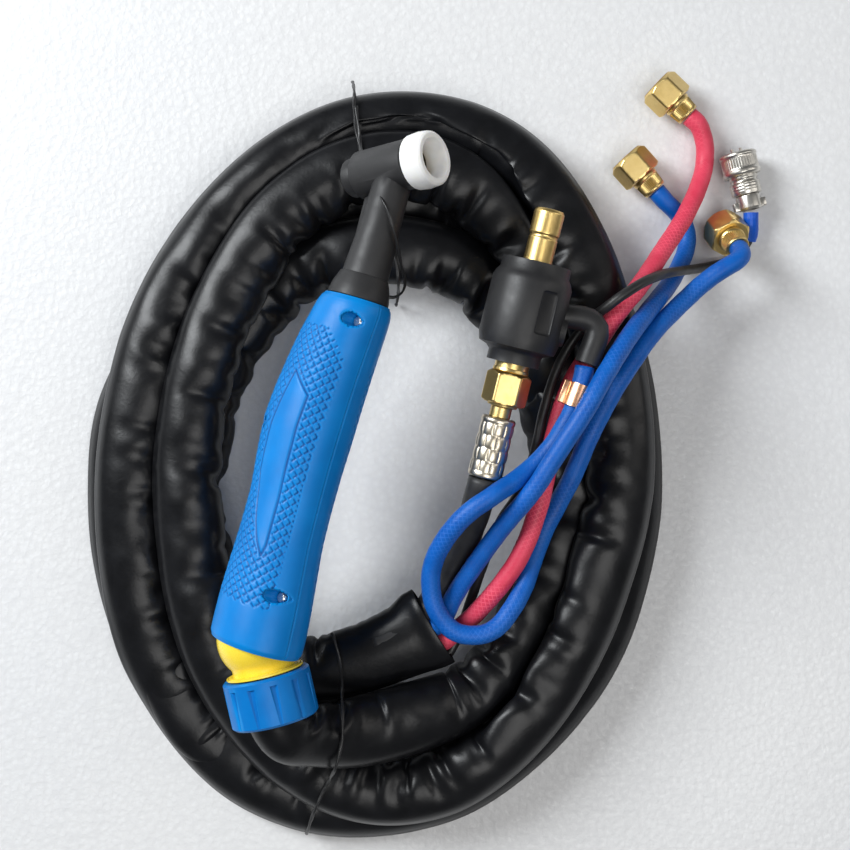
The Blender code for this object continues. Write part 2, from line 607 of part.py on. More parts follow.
# ---- hoses and cables ------------------------------------------------------
POWER_ROUTE = [(95.6, 67.4, 58.0), (94.2, 61.6, 57.1), (92.2, 53.5, 53.4), (89.2, 44.0, 47.2), (83.8, 29.7, 39.6), (74.8, 12.0, 34.0)]
RETURN_ROUTE = [(138.2, 114.5, 62), (136.9, 107.7, 62), (135.3, 101.3, 61.5), (131.2, 91.5, 60.3), (123.2, 78.7, 58.6),
                (111.9, 68.1, 60.5), (99.2, 59.9, 67.6), (87.8, 51.8, 67.2), (79.0, 41.3, 62.5), (73.5, 29.7, 57),
                (72.7, 18.2, 54), (75.7, 8.1, 53), (82.7, 0.2, 52), (91.8, -1.7, 51.8), (100.5, 1.1, 51.5),
                (107.6, 9.1, 50.0), (113.4, 19.2, 47.0), (117.4, 30.0, 44.3), (122.6, 43.2, 43.0), (128.6, 55.2, 44.5),
                (134.6, 67.6, 48.3), (141.9, 85.0, 49.4), (151.5, 103.3, 49.6), (160.0, 116.5, 48.4), (170.3, 130.0, 43.0),
                (183.2, 142.4, 33.6), (194.6, 152.8, 31.6), (203.0, 158.9, 32.8), (209.0, 162.4, 31.9), (212.4, 165.8, 28.6), (212.4, 169.5, 23.4)]
INLET_ROUTE = [(77.2, 2.4, 41.4), (83.2, 15.1, 46), (90.5, 27.0, 51), (103.1, 45.3, 58), (115.8, 61.5, 65.2),
               (125.6, 77.2, 69), (137.2, 95.3, 71.0), (146.2, 110.7, 67.6), (157.2, 126.7, 57.5), (169.2, 140.5, 41.5),
               (180.3, 152.4, 23.5), (188.7, 164.5, 10), (192.4, 174.2, 5.6), (191.2, 182.6, 5.6), (186.4, 188.8, 8.2),
               (181.1, 193.3, 10.2), (177.1, 197.8, 10.4)]
GAS_ROUTE = [(78.1, -7.0, 35.2), (84.7, -1.0, 38), (92.1, 6.1, 41.5), (103.7, 20.5, 48), (112.6, 35.2, 51),
             (119.5, 54.8, 52), (124.0, 74.2, 50), (127.1, 87.2, 48.8), (130.2, 98.1, 48.8), (135.8, 111.2, 48.8),
             (145.0, 125.1, 48.8), (154.2, 138.7, 48), (164.6, 150.9, 43), (176.3, 166.9, 31), (188.3, 183.9, 19.5),
             (196.7, 199.6, 10.5), (200.2, 211.0, 7.0), (199.9, 220.6, 8.2), (196.9, 228.1, 10.2), (192.4, 232.5, 10.4)]
CONTROL_ROUTE = [(78.6, -15.1, 30.5), (84.5, -6.1, 30.4), (89.8, 9.0, 33), (96.1, 29.1, 42), (102.9, 47.0, 46.6),
                 (112.0, 61.0, 46.6), (117.7, 76.3, 46.6), (122.1, 96.0, 46.6), (127.3, 112.6, 46.6), (133.4, 124.3, 46.6),
                 (140.9, 134.1, 50), (148.9, 140.6, 55.5), (156.4, 146.1, 57), (165.7, 151.7, 52.5), (175.4, 155.9, 41.8),
                 (185.2, 158.8, 27.8), (195.3, 161.5, 12.4), (204.3, 163.8, 4), (212.1, 166.3, 2.6), (218.4, 171.4, 3.0),
                 (221.8, 177.6, 5.4), (221.4, 184.2, 8.6), (221.3, 188.0, 9.3)]

tube("power_cable", POWER_ROUTE, POWER_R, BLACK_CABLE, step=9.0, trim=(1.0, 3.2))
tube("return_hose", RETURN_ROUTE, HOSE_R, BLUE_HOSE, step=11.0, trim=(0.4, 2.2))
tube("inlet_hose", INLET_ROUTE, INLET_R, BLUE_HOSE, step=11.0, trim=(2.0, 1.0))
tube("gas_hose", GAS_ROUTE, HOSE_R, RED_HOSE, step=11.0, trim=(1.0, 1.0))
tube("control_cable", CONTROL_ROUTE, CONTROL_R, BLACK_CABLE, step=5.0, res=2)

# crimp band on the return hose, with its ear
clamp_dir = math.degrees(math.atan2(103.0 - 96.0, 136.0 - 133.4)) - 90
CLAMP = frame("clamp_frame", 135.3, 101.6, 61.5, 0, 0, clamp_dir)
turned("return_clamp", [(HOSE_R + 0.9, 5.0), (HOSE_R + 1.7, 5.0), (HOSE_R + 1.7, -5.0), (HOSE_R + 0.9, -5.0)],
       COPPER, CLAMP, steps=20)
ear = block("join_clamp_ear", (2.6, 10.0, 3.0), None, CLAMP, (-HOSE_R - 2.3, 0, 1.0), bevel=0.5, cutter=True)
cut(bpy.data.objects["return_clamp"], ear, op="UNION")

# threaded ends: knurled ferrule and swivelling hex nut; local +Y points out
for label, fr in (("gas", GAS_END), ("inlet", INLET_END), ("return", RETURN_END)):
    turned(label + "_ferrule", [(0, 16.0), (4.0, 16.0), (4.0, 8.3), (5.6, 8.0), (5.6, 1.2), (5.2, 0.5), (0, 0.5)],
           BRASS, fr, steps=20)
    hexnut = prism(label + "_nut", 6, 9.9, 12.6, BRASS, fr, (0, 14.8, 0), twist=12.0)
    inner = turned("cut_" + label + "_nut", [(0, 30), (6.6, 30), (6.6, 17.0), (4.4, 17.0), (4.4, 0), (0, 0)],
                   None, fr, steps=20, cutter=True)
    cut(hexnut, inner)

# ---- control plug ----------------------------------------------------------
# local +Y of the plug frame points to the plug face
control_line = even(catmull(CONTROL_ROUTE), 0.5)
shrink_line = control_line[-27:]
shrink = tube_mesh("heat_shrink", even(shrink_line, 2.4), 3.5, None, cutter=False, n=16, mat=SHRINK)
over = even(control_line[-34:] + [control_line[-1] + (control_line[-1] - control_line[-6])], 2.4)
shrink_bore = tube_mesh("cut_shrink_bore", over, 2.55, None, n=12)
cut(shrink, shrink_bore)
turned("cable_clamp", [(3.9, 7.0), (5.4, 7.0), (5.6, 6.0), (5.6, 1.2), (5.0, 0.2), (3.9, 0.2)], NICKEL, PLUG, steps=20)
ears = block("join_clamp_ears", (15.0, 4.0, 4.0), None, PLUG, (0, 2.6, 0), bevel=0.5, cutter=True)
ear_bore = prism("cut_clamp_bore", 16, 3.9, 12, None, PLUG, (0, 2.0, 0), cutter=True)
cut(bpy.data.objects["cable_clamp"], ears, op="UNION")
cut(bpy.data.objects["cable_clamp"], ear_bore)
turned("plug_shell", [(5.6, 26.5), (6.2, 26.5), (6.2, 9.0), (6.6, 8.8), (6.6, 7.3), (3.4, 7.3), (3.4, 9.4), (5.6, 10.0)],
       NICKEL, PLUG, steps=24)
turned("plug_ring", [(6.6, 27.0), (7.6, 27.0), (8.7, 26.0), (8.7, 17.0), (7.9, 16.2), (6.6, 16.2)], NICKEL, PLUG, steps=32)
turned("plug_insert", [(0, 25.4), (5.3, 25.4), (5.3, 12.0), (0, 12.0)], BLACK_CABLE, PLUG, steps=20)
for k, x in enumerate((-2.0, 2.0)):
    prism("plug_pin_%d" % (k + 1), 10, 0.7, 6.0, BRASS, PLUG, (x, 26.3, 0))
    pin_hole = prism("cut_pin_hole_%d" % k, 10, 1.0, 8.0, None, PLUG, (x, 26.4, 0), cutter=True)
    cut(bpy.data.objects["plug_insert"], pin_hole)

for ob in PARTS.objects:
    if ob.type == "MESH" and ob.name not in ("handle_shell_front", "handle_shell_back"):
        smooth(ob)
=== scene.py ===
"""TIG torch: what the camera sees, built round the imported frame."""
import bpy
import bmesh
import json
import math
import numpy as np
from mathutils import Vector, Matrix, noise
from mathutils.kdtree import KDTree

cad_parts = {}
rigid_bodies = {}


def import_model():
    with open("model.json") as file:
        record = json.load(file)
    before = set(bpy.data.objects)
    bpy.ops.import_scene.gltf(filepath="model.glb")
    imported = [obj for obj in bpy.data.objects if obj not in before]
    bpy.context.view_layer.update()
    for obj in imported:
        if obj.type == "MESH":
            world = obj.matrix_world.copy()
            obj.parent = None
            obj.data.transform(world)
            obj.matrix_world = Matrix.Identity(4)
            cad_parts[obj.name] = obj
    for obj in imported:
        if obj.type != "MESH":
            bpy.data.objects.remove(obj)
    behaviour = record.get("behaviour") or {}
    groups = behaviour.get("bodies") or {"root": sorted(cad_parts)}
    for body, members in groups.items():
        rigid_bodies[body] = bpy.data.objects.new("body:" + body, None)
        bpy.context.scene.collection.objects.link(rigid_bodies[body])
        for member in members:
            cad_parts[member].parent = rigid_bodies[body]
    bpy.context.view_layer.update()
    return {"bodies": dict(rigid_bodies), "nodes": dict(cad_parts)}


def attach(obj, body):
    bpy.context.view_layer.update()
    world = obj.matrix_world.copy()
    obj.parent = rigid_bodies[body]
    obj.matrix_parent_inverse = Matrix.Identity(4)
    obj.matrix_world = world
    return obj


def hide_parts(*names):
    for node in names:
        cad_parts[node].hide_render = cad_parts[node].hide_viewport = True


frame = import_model()
N = frame["nodes"]
MM = 0.001

# ---------------------------------------------------------------- camera, floor, light
cam_data = bpy.data.cameras.new("camera")
cam_data.lens = 58.5
cam_data.sensor_width = 36.0
cam = bpy.data.objects.new("camera", cam_data)
cam.location = (0.0701, 0.0894, 0.650)
bpy.context.scene.collection.objects.link(cam)
bpy.context.scene.camera = cam


def grid_mesh(name, verts, faces, uvs=None, smooth=True):
    me = bpy.data.meshes.new(name)
    me.from_pydata([tuple(v) for v in verts], [], faces)
    if uvs is not None:
        layer = me.uv_layers.new(name="UVMap")
        loops = np.zeros(len(me.loops), np.int64)
        me.loops.foreach_get("vertex_index", loops)
        if len(uvs) == len(verts):
            layer.data.foreach_set("uv", np.asarray(uvs, float)[loops].ravel())
        else:
            layer.data.foreach_set("uv", np.asarray(uvs, float).ravel())
    me.update()
    if smooth:
        me.polygons.foreach_set("use_smooth", [True] * len(me.polygons))
    return me


def show(name, me, mat=None):
    ob = bpy.data.objects.new(name, me)
    bpy.context.scene.collection.objects.link(ob)
    if mat is not None:
        if len(ob.data.materials):
            ob.data.materials[0] = mat
        else:
            ob.data.materials.append(mat)
    return ob


def light(name, loc, aim, size, power, colour=(1, 1, 1), size_y=None):
    d = bpy.data.lights.new(name, "AREA")
    d.energy = power
    d.color = colour
    d.size = size
    if size_y:
        d.shape = "RECTANGLE"
        d.size_y = size_y
    o = bpy.data.objects.new(name, d)
    o.location = loc
    o.rotation_euler = (Vector(aim) - Vector(loc)).to_track_quat("-Z", "Y").to_euler()
    bpy.context.scene.collection.objects.link(o)
    return o


light("window", (-0.95, 0.70, 0.95), (0.05, 0.1, 0.0), 0.55, 25.0, (0.95, 0.98, 1.0), 0.8)
light("top_fill", (0.35, -0.35, 1.6), (0.08, 0.08, 0.0), 0.9, 9.0, (1.0, 0.99, 0.97))
light("side_strip", (1.1, 0.35, 0.75), (0.1, 0.1, 0.02), 0.35, 2.0, (1.0, 0.97, 0.93), 1.0)
bpy.context.scene.view_settings.view_transform = "Standard"
world = bpy.data.worlds.new("studio")
bpy.context.scene.world = world
world.use_nodes = True
world.node_tree.nodes["Background"].inputs["Color"].default_value = (0.93, 0.95, 1.0, 1.0)
world.node_tree.nodes["Background"].inputs["Strength"].default_value = 0.15


# ---------------------------------------------------------------- materials
class Nodes:
    """Short hand for building a node material."""

    def __init__(self, name):
        self.m = bpy.data.materials.new(name)
        self.m.use_nodes = True
        self.t = self.m.node_tree
        self.b = self.t.nodes["Principled BSDF"]

    def set(self, **kw):
        names = {"base": "Base Color", "rough": "Roughness", "metal": "Metallic", "coat": "Coat Weight",
                 "coat_rough": "Coat Roughness", "spec": "Specular IOR Level", "sheen": "Sheen Weight",
                 "sub": "Subsurface Weight", "sub_r": "Subsurface Radius", "sub_s": "Subsurface Scale",
                 "ior": "IOR", "trans": "Transmission Weight"}
        for k, v in kw.items():
            s = self.b.inputs[names[k]]
            if isinstance(v, bpy.types.NodeSocket):
                self.t.links.new(v, s)
            elif k == "base":
                s.default_value = (*v, 1.0)
            else:
                s.default_value = v
        return self

    def node(self, kind, ins=(), **props):
        n = self.t.nodes.new(kind)
        for k, v in props.items():
            setattr(n, k, v)
        for k, v in dict(ins).items():
            s = n.inputs[k]
            if isinstance(v, bpy.types.NodeSocket):
                self.t.links.new(v, s)
            else:
                s.default_value = v
        return n

    def coords(self, kind="Object", scale=(1, 1, 1)):
        tc = self.node("ShaderNodeTexCoord")
        mp = self.node("ShaderNodeMapping", {"Vector": tc.outputs[kind], "Scale": scale})
        return mp.outputs["Vector"]

    def noise(self, vec, scale, detail=3.0, rough=0.55, distort=0.0):
        return self.node("ShaderNodeTexNoise", {"Vector": vec, "Scale": scale, "Detail": detail,
                                                "Roughness": rough, "Distortion": distort}).outputs["Fac"]

    def voronoi(self, vec, scale, feature="F1", out="Distance"):
        return self.node("ShaderNodeTexVoronoi", {"Vector": vec, "Scale": scale}, feature=feature).outputs[out]

    def wave(self, vec, scale, distort=0.0, kind="BANDS", direction="X", detail=1.0, dscale=1.0):
        return self.node("ShaderNodeTexWave", {"Vector": vec, "Scale": scale, "Distortion": distort, "Detail": detail,
                                               "Detail Scale": dscale}, wave_type=kind, bands_direction=direction).outputs["Fac"]

    def math(self, op, a, b=0.0, c=0.0, clamp=False):
        n = self.t.nodes.new("ShaderNodeMath")
        n.operation = op
        n.use_clamp = clamp
        for i, v in enumerate((a, b, c)):
            if isinstance(v, bpy.types.NodeSocket):
                self.t.links.new(v, n.inputs[i])
            else:
                n.inputs[i].default_value = v
        return n.outputs[0]

    def ramp(self, fac, stops, interp="LINEAR"):
        n = self.t.nodes.new("ShaderNodeValToRGB")
        self.t.links.new(fac, n.inputs[0])
        n.color_ramp.interpolation = interp
        el = n.color_ramp.elements
        while len(el) > 1:
            el.remove(el[-1])
        el[0].position, el[0].color = stops[0][0], self._c(stops[0][1])
        for p, c in stops[1:]:
            e = el.new(p)
            e.color = self._c(c)
        return n.outputs["Color"]

    @staticmethod
    def _c(c):
        return (c, c, c, 1.0) if isinstance(c, (int, float)) else (*c, 1.0)

    def mix(self, fac, a, b, blend="MIX"):
        n = self.t.nodes.new("ShaderNodeMix")
        n.data_type = "RGBA"
        n.blend_type = blend
        for s, v in ((n.inputs[0], fac), (n.inputs[6], a), (n.inputs[7], b)):
            if isinstance(v, bpy.types.NodeSocket):
                self.t.links.new(v, s)
            elif isinstance(v, (int, float)):
                s.default_value = v
            else:
                s.default_value = (*v, 1.0)
        return n.outputs[2]

    def bump(self, height, strength=0.3, dist=0.001, normal=None):
        n = self.t.nodes.new("ShaderNodeBump")
        n.inputs["Strength"].default_value = strength
        n.inputs["Distance"].default_value = dist
        self.t.links.new(height, n.inputs["Height"])
        if normal is not None:
            self.t.links.new(normal, n.inputs["Normal"])
        self.t.links.new(n.outputs["Normal"], self.b.inputs["Normal"])
        return n.outputs["Normal"]

    def edge(self, lo=0.48, hi=0.58):
        """Bright where the mesh turns a convex edge."""
        g = self.node("ShaderNodeNewGeometry")
        return self.ramp(g.outputs["Pointiness"], [(lo, 0.0), (hi, 1.0)])


def floor_material():
    m = Nodes("pale_foam_sheet")
    v = m.coords()
    tint = m.noise(v, 3.0, 2.0)
    grain = m.noise(v, 420.0, 2.0, 0.7)
    cells = m.voronoi(v, 330.0)
    base = m.ramp(tint, [(0.3, (0.70, 0.715, 0.74)), (0.7, (0.745, 0.745, 0.745))])
    spot = m.ramp(cells, [(0.0, (0.86, 0.87, 0.88)), (0.35, (0.80, 0.80, 0.80)), (0.8, (0.74, 0.74, 0.745))])
    m.set(base=m.mix(0.45, base, spot), rough=m.ramp(grain, [(0.3, 0.30), (0.7, 0.62)]), spec=0.6)
    m.bump(m.math("ADD", m.math("MULTIPLY", cells, 0.8), grain), 0.35, 0.0006)
    return m.m


floor_me = grid_mesh("floor", [(-2.2, -2.2, 0), (2.4, -2.2, 0), (2.4, 2.4, 0), (-2.2, 2.4, 0)], [(0, 1, 2, 3)], smooth=False)
floor = show("floor", floor_me, floor_material())


def blue_plastic(name="azure_moulding", hi=(0.0, 0.215, 0.63), lo=(0.0, 0.175, 0.54), grooves=False):
    m = Nodes(name)
    v = m.coords()
    cloud = m.noise(v, 60.0, 3.0)
    grain = m.noise(v, 2600.0, 2.0, 0.6)
    scuff = m.noise(m.coords(scale=(1, 0.25, 1)), 520.0, 4.0, 0.7, 0.6)
    e = m.edge(0.5, 0.62)
    base = m.mix(m.math("MULTIPLY", e, 0.35), m.ramp(cloud, [(0.3, lo), (0.7, hi)]), (0.0, 0.40, 0.92))
    # painted shade: the base is darkened towards deep navy in the grooves and chevron marks, by the depth stored per
    # vertex in the skin's colour attribute
    if grooves:
        painted_groove_shade = m.node("ShaderNodeVertexColor", layer_name="groove_shade").outputs["Color"]
        base = m.mix(m.math("MULTIPLY", painted_groove_shade, 0.90), base, (0.0, 0.055, 0.25))
    m.set(base=base, rough=m.ramp(scuff, [(0.25, 0.32), (0.75, 0.46)]), spec=0.24, sub=0.0, coat=0.0, coat_rough=0.3)
    m.bump(m.math("ADD", m.math("MULTIPLY", grain, 0.5), m.math("MULTIPLY", cloud, 0.1)), 0.22, 0.00025)
    return m.m


def yellow_plastic():
    m = Nodes("yellow_moulding")
    v = m.coords()
    c = m.noise(v, 90.0, 3.0)
    g = m.noise(v, 1500.0, 2.0)
    m.set(base=m.ramp(c, [(0.3, (0.93, 0.66, 0.035)), (0.7, (0.98, 0.75, 0.06))]), rough=m.ramp(g, [(0.3, 0.22), (0.7, 0.34)]),
          coat=0.2, coat_rough=0.15)
    m.bump(g, 0.08, 0.0002)
    return m.m


def white_plastic():
    m = Nodes("white_ptfe")
    v = m.coords()
    c = m.noise(v, 120.0, 3.0)
    turn = m.noise(m.coords(scale=(1, 1, 1)), 700.0, 2.0)
    m.set(base=m.ramp(c, [(0.3, (0.86, 0.855, 0.83)), (0.7, (0.92, 0.92, 0.91))]), rough=m.ramp(turn, [(0.3, 0.30), (0.7, 0.45)]),
          sub=0.25, sub_r=(0.9, 0.8, 0.6), sub_s=0.002)
    m.bump(turn, 0.06, 0.0002)
    return m.m


def rubber(name="moulded_rubber", tone=0.016, rough=(0.46, 0.62), dust=0.5):
    m = Nodes(name)
    v = m.coords()
    c = m.noise(v, 150.0, 4.0, 0.65)
    g = m.noise(v, 1900.0, 3.0, 0.6)
    d = m.math("MULTIPLY", m.ramp(m.noise(v, 38.0, 5.0, 0.7), [(0.45, 0.0), (0.75, 1.0)]), dust)
    e = m.math("MULTIPLY", m.edge(0.5, 0.6), 0.35)
    base = m.mix(m.math("ADD", m.math("MULTIPLY", d, 0.35), e, clamp=True), (tone, tone, tone * 1.08), (tone * 3.4, tone * 3.4, tone * 3.5))
    m.set(base=base, rough=m.ramp(c, [(0.25, rough[0]), (0.75, rough[1])]), spec=0.45)
    m.bump(m.math("ADD", m.math("MULTIPLY", g, 0.6), m.math("MULTIPLY", c, 0.5)), 0.25, 0.00035)
    return m.m


def metal(name, lo, hi, rough=(0.16, 0.30), lines=0.25, tarnish=(0.4, 0.3, 0.1), scale=1.0):
    m = Nodes(name)
    v = m.coords()
    c = m.noise(v, 140.0 * scale, 4.0, 0.6)
    s = m.noise(m.coords(scale=(1, 1, 6)), 900.0 * scale, 3.0, 0.7, 0.4)
    scratch = m.ramp(m.noise(m.coords(scale=(0.3, 1, 1)), 1300.0, 2.0, 0.8, 1.5), [(0.60, 0.0), (0.66, 1.0)])
    spot = m.ramp(m.noise(v, 60.0, 5.0, 0.75), [(0.52, 0.0), (0.72, 1.0)])
    base = m.mix(m.math("MULTIPLY", spot, 0.35), m.ramp(c, [(0.25, lo), (0.75, hi)]), tarnish)
    r = m.math("ADD", m.math("MULTIPLY", s, rough[1] - rough[0]), rough[0])
    m.set(base=base, metal=1.0, rough=m.math("ADD", r, m.math("MULTIPLY", scratch, 0.12)))
    m.bump(m.math("ADD", m.math("MULTIPLY", s, 0.5), m.math("MULTIPLY", scratch, -0.25)), lines, 0.00006)
    return m.m


def plain_moulding(name, base, rough=(0.35, 0.5)):
    m = Nodes(name)
    v = m.coords()
    c = m.noise(v, 200.0, 3.0)
    g = m.noise(v, 1800.0, 2.0)
    lo = tuple(x * 0.85 for x in base)
    m.set(base=m.ramp(c, [(0.3, lo), (0.7, base)]), rough=m.ramp(g, [(0.3, rough[0]), (0.7, rough[1])]))
    m.bump(g, 0.12, 0.0002)
    return m.m


BLUE = blue_plastic()
NUT_BLUE = blue_plastic("blue_nut", (0.0, 0.165, 0.53), (0.0, 0.12, 0.43))
YELLOW = yellow_plastic()
WHITE = white_plastic()
RUBBER = rubber("head_rubber", 0.013, (0.42, 0.58))
BOOT = rubber("boot_rubber", 0.012, (0.38, 0.52), 0.8)
BRASS = metal("brass", (0.70, 0.50, 0.18), (0.84, 0.64, 0.28), (0.24, 0.40), 0.3, (0.46, 0.31, 0.11))
PIN_BRASS = metal("pin_brass", (0.66, 0.46, 0.16), (0.84, 0.62, 0.25), (0.26, 0.42), 0.5, (0.40, 0.27, 0.10))
COPPER = metal("copper_band", (0.80, 0.40, 0.22), (0.93, 0.56, 0.36), (0.22, 0.36), 0.25, (0.45, 0.18, 0.10))
NICKEL = metal("nickel", (0.58, 0.56, 0.51), (0.72, 0.69, 0.63), (0.25, 0.33), 0.02, (0.36, 0.33, 0.28))
CHAMPAGNE = metal("plated_ferrule", (0.58, 0.51, 0.40), (0.76, 0.69, 0.57), (0.26, 0.34), 0.04, (0.40, 0.33, 0.24))
STEEL = metal("screw_steel", (0.60, 0.60, 0.60), (0.78, 0.78, 0.78), (0.2, 0.35), 0.25, (0.3, 0.28, 0.25))
GREY = plain_moulding("grey_moulding", (0.16, 0.16, 0.17))
BLACK_PLASTIC = plain_moulding("black_moulding", (0.02, 0.02, 0.021), (0.3, 0.45))
SHRINK = plain_moulding("blue_shrink", (0.003, 0.10, 0.62), (0.25, 0.4))
INNER_BLACK = rubber("inner_hose_black", 0.015)
INNER_BLUE = plain_moulding("inner_hose_blue", (0.01, 0.13, 0.55))
INNER_RED = plain_moulding("inner_hose_red", (0.7, 0.06, 0.09))

FINISH = {
    "handle_shell_front": BLUE, "handle_shell_back": BLUE, "handle_screw_1": STEEL, "handle_screw_2": STEEL,
    "handle_screw_3": STEEL, "torch_body": RUBBER, "neck_collar": RUBBER, "head_insert": BRASS, "insulator_ring": WHITE,
    "back_cap": RUBBER, "back_cap_oring": BLACK_PLASTIC, "power_pipe": COPPER, "water_pipe": BRASS, "gas_pipe": BRASS,
    "power_tail": INNER_BLACK, "water_tail": INNER_BLUE, "gas_tail": INNER_RED, "trigger_button": BLACK_PLASTIC,
    "micro_switch": GREY, "trigger_spring": STEEL, "swivel_ball": YELLOW, "ball_clip": YELLOW, "hose_guide": GREY,
    "clamp_nut": NUT_BLUE, "sleeve_clamp_ring": GREY, "plug_pin": PIN_BRASS, "connector_core": BRASS, "rubber_boot": BOOT,
    "water_barb": BRASS, "power_nut": BRASS, "power_tail_pipe": BRASS, "power_ferrule": CHAMPAGNE, "return_clamp": COPPER,
    "gas_ferrule": BRASS, "gas_nut": BRASS, "inlet_ferrule": BRASS, "inlet_nut": BRASS, "return_ferrule": BRASS,
    "return_nut": BRASS, "heat_shrink": SHRINK, "cable_clamp": NICKEL, "plug_shell": NICKEL, "plug_ring": NICKEL,
    "plug_insert": BLACK_PLASTIC, "plug_pin_1": NICKEL, "plug_pin_2": NICKEL,
}


def finer(node, limit, bevel):
    """A new piece of the node's shape with whole, smooth faces and softened edges; it stands for the node."""
    old = N[node]
    bm = bmesh.new()
    bm.from_mesh(old.data)
    bmesh.ops.remove_doubles(bm, verts=bm.verts, dist=2e-6)
    bmesh.ops.dissolve_degenerate(bm, dist=2e-6, edges=bm.edges)
    bmesh.ops.dissolve_limit(bm, angle_limit=math.radians(0.6), verts=bm.verts, edges=bm.edges)
    bmesh.ops.recalc_face_normals(bm, faces=bm.faces)
    lim = math.radians(limit)
    for f in bm.faces:
        f.smooth = True
        f.material_index = 0
    for e in bm.edges:
        e.smooth = not (len(e.link_faces) == 2 and e.calc_face_angle(0.0) > lim)
    me = bpy.data.meshes.new(node + "_fine")
    bm.to_mesh(me)
    bm.free()
    for key in ("custom_normal",):
        if key in me.attributes:
            me.attributes.remove(me.attributes[key])
    me.materials.clear()
    ob = show(node + "_fine", me, FINISH[node])
    if bevel:
        mod = ob.modifiers.new("edge", "BEVEL")
        mod.width = bevel * MM
        mod.segments = 2
        mod.limit_method = "ANGLE"
        mod.angle_limit = lim
        mod.use_clamp_overlap = True
        mod.harden_normals = True
        bpy.context.view_layer.update()
        out = bpy.data.meshes.new_from_object(ob.evaluated_get(bpy.context.evaluated_depsgraph_get()))
        ob.modifiers.clear()
        ob.data = out
    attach(ob, BODY_OF[node])
    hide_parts(node)
    return ob


BODY_OF = {n: b_ for b_, e_ in frame["bodies"].items() for n in N if N[n].parent == e_}
EDGES = {"torch_body": (42, 0), "neck_collar": (38, 0.3), "insulator_ring": (38, 0.35), "back_cap": (38, 0.3),
         "swivel_ball": (45, 0), "clamp_nut": (34, 0.35), "rubber_boot": (48, 0),
         "power_tail_pipe": (30, 0.2), "plug_insert": (30, 0), "cable_clamp": (30, 0.15),
         "return_clamp": (40, 0.12), "trigger_button": (30, 0.3), "ball_clip": (40, 0.15),
         "sleeve_clamp_ring": (30, 0.3), "head_insert": (30, 0.15), "connector_core": (30, 0.2),
         "water_barb": (30, 0.2), "hose_guide": (30, 0.2), "handle_screw_1": (30, 0.1), "handle_screw_2": (30, 0.1),
         "handle_screw_3": (30, 0.1)}


def axes(x, y):
    x, y = np.array(x, float), np.array(y, float)
    y /= np.linalg.norm(y)
    x = x - y * (x @ y)
    x /= np.linalg.norm(x)
    return x, y, np.cross(x, y)


def machined(node, origin, x, y, profile, steps=120, shape=None, step=0.45, corner=0.14, turn=0.0):
    """A turned piece on the frame's own axis: its closed profile in (y, r), and shape(y, angle, r) for flats and knurls."""
    ax, ay, az = axes(x, y)
    pr = [np.array(q, float) for q in profile]
    rows = []
    for i, q in enumerate(pr):
        pa, pb = pr[i - 1], pr[(i + 1) % len(pr)]
        for other, flag in ((pa, 0), (pb, 1)):
            d = other - q
            ln = np.linalg.norm(d)
            cut_ = min(corner, ln * 0.3)
            rows.append(q + d / max(ln, 1e-9) * cut_)
        ln = np.linalg.norm(pb - q)
        k = int(ln / step)
        e0, e1 = rows[-1], pb + (q - pb) / max(ln, 1e-9) * min(corner, ln * 0.3)
        rows += [e0 + (e1 - e0) * (j / k) for j in range(1, k)] if k > 1 else []
    rows = np.array(rows)
    th = np.linspace(0, 2 * math.pi, steps, endpoint=False) + math.radians(turn)
    Y, T = np.meshgrid(rows[:, 0], th, indexing="ij")
    R = np.repeat(rows[:, 1:2], steps, axis=1)
    if shape is not None:
        R = shape(Y, T - math.radians(turn), R)
    P = (np.array(origin, float) + Y[..., None] * ay + (R * np.cos(T))[..., None] * ax + (R * np.sin(T))[..., None] * az)
    n = len(rows)
    idx = np.arange(n * steps).reshape(n, steps)
    nx = np.roll(idx, -1, axis=1)
    dn = np.roll(idx, -1, axis=0)
    dnx = np.roll(dn, -1, axis=1)
    quad = np.stack([idx, nx, dnx, dn], -1).reshape(-1, 4)
    me = bpy.data.meshes.new(node + "_made")
    me.from_pydata((P.reshape(-1, 3) * MM).tolist(), [], quad.tolist())
    bm = bmesh.new()
    bm.from_mesh(me)
    bmesh.ops.recalc_face_normals(bm, faces=bm.faces)
    for f in bm.faces:
        f.smooth = True
    for e in bm.edges:
        e.smooth = not (len(e.link_faces) == 2 and e.calc_face_angle(0.0) > math.radians(33))
    bm.to_mesh(me)
    bm.free()
    ob = show(node + "_made", me, FINISH[node])
    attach(ob, BODY_OF[node])
    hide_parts(node)
    return ob


def hexagon(circum, y0, y1, soft0, soft1, rmin):
    """Flats of a nut between y0 and y1, its corners turned down towards both ends."""
    def f(y, t, r):
        flat = circum * math.cos(math.pi / 6)
        h = flat / np.cos((t + math.pi / 6) % (math.pi / 3) - math.pi / 6) if False else flat / np.cos(t % (math.pi / 3) - math.pi / 6)
        h = np.minimum(h, circum * 0.982)
        near = flat * 0.965 + (y - y0) * soft0
        far = flat * 0.90 + (y1 - y) * soft1
        h = np.minimum(h, np.minimum(near, far))
        return np.where(r > rmin, np.minimum(h, r), r)
    return f


def knurl(count, depth, y0, y1):
    def f(y, t, r):
        tri = np.abs((t * count / (2 * math.pi)) % 1.0 - 0.5) * 2
        on = np.clip((y - y0) / 0.5, 0, 1) * np.clip((y1 - y) / 0.5, 0, 1)
        return np.where(r > 5.0, r - depth * on * (1 - tri), r)
    return f


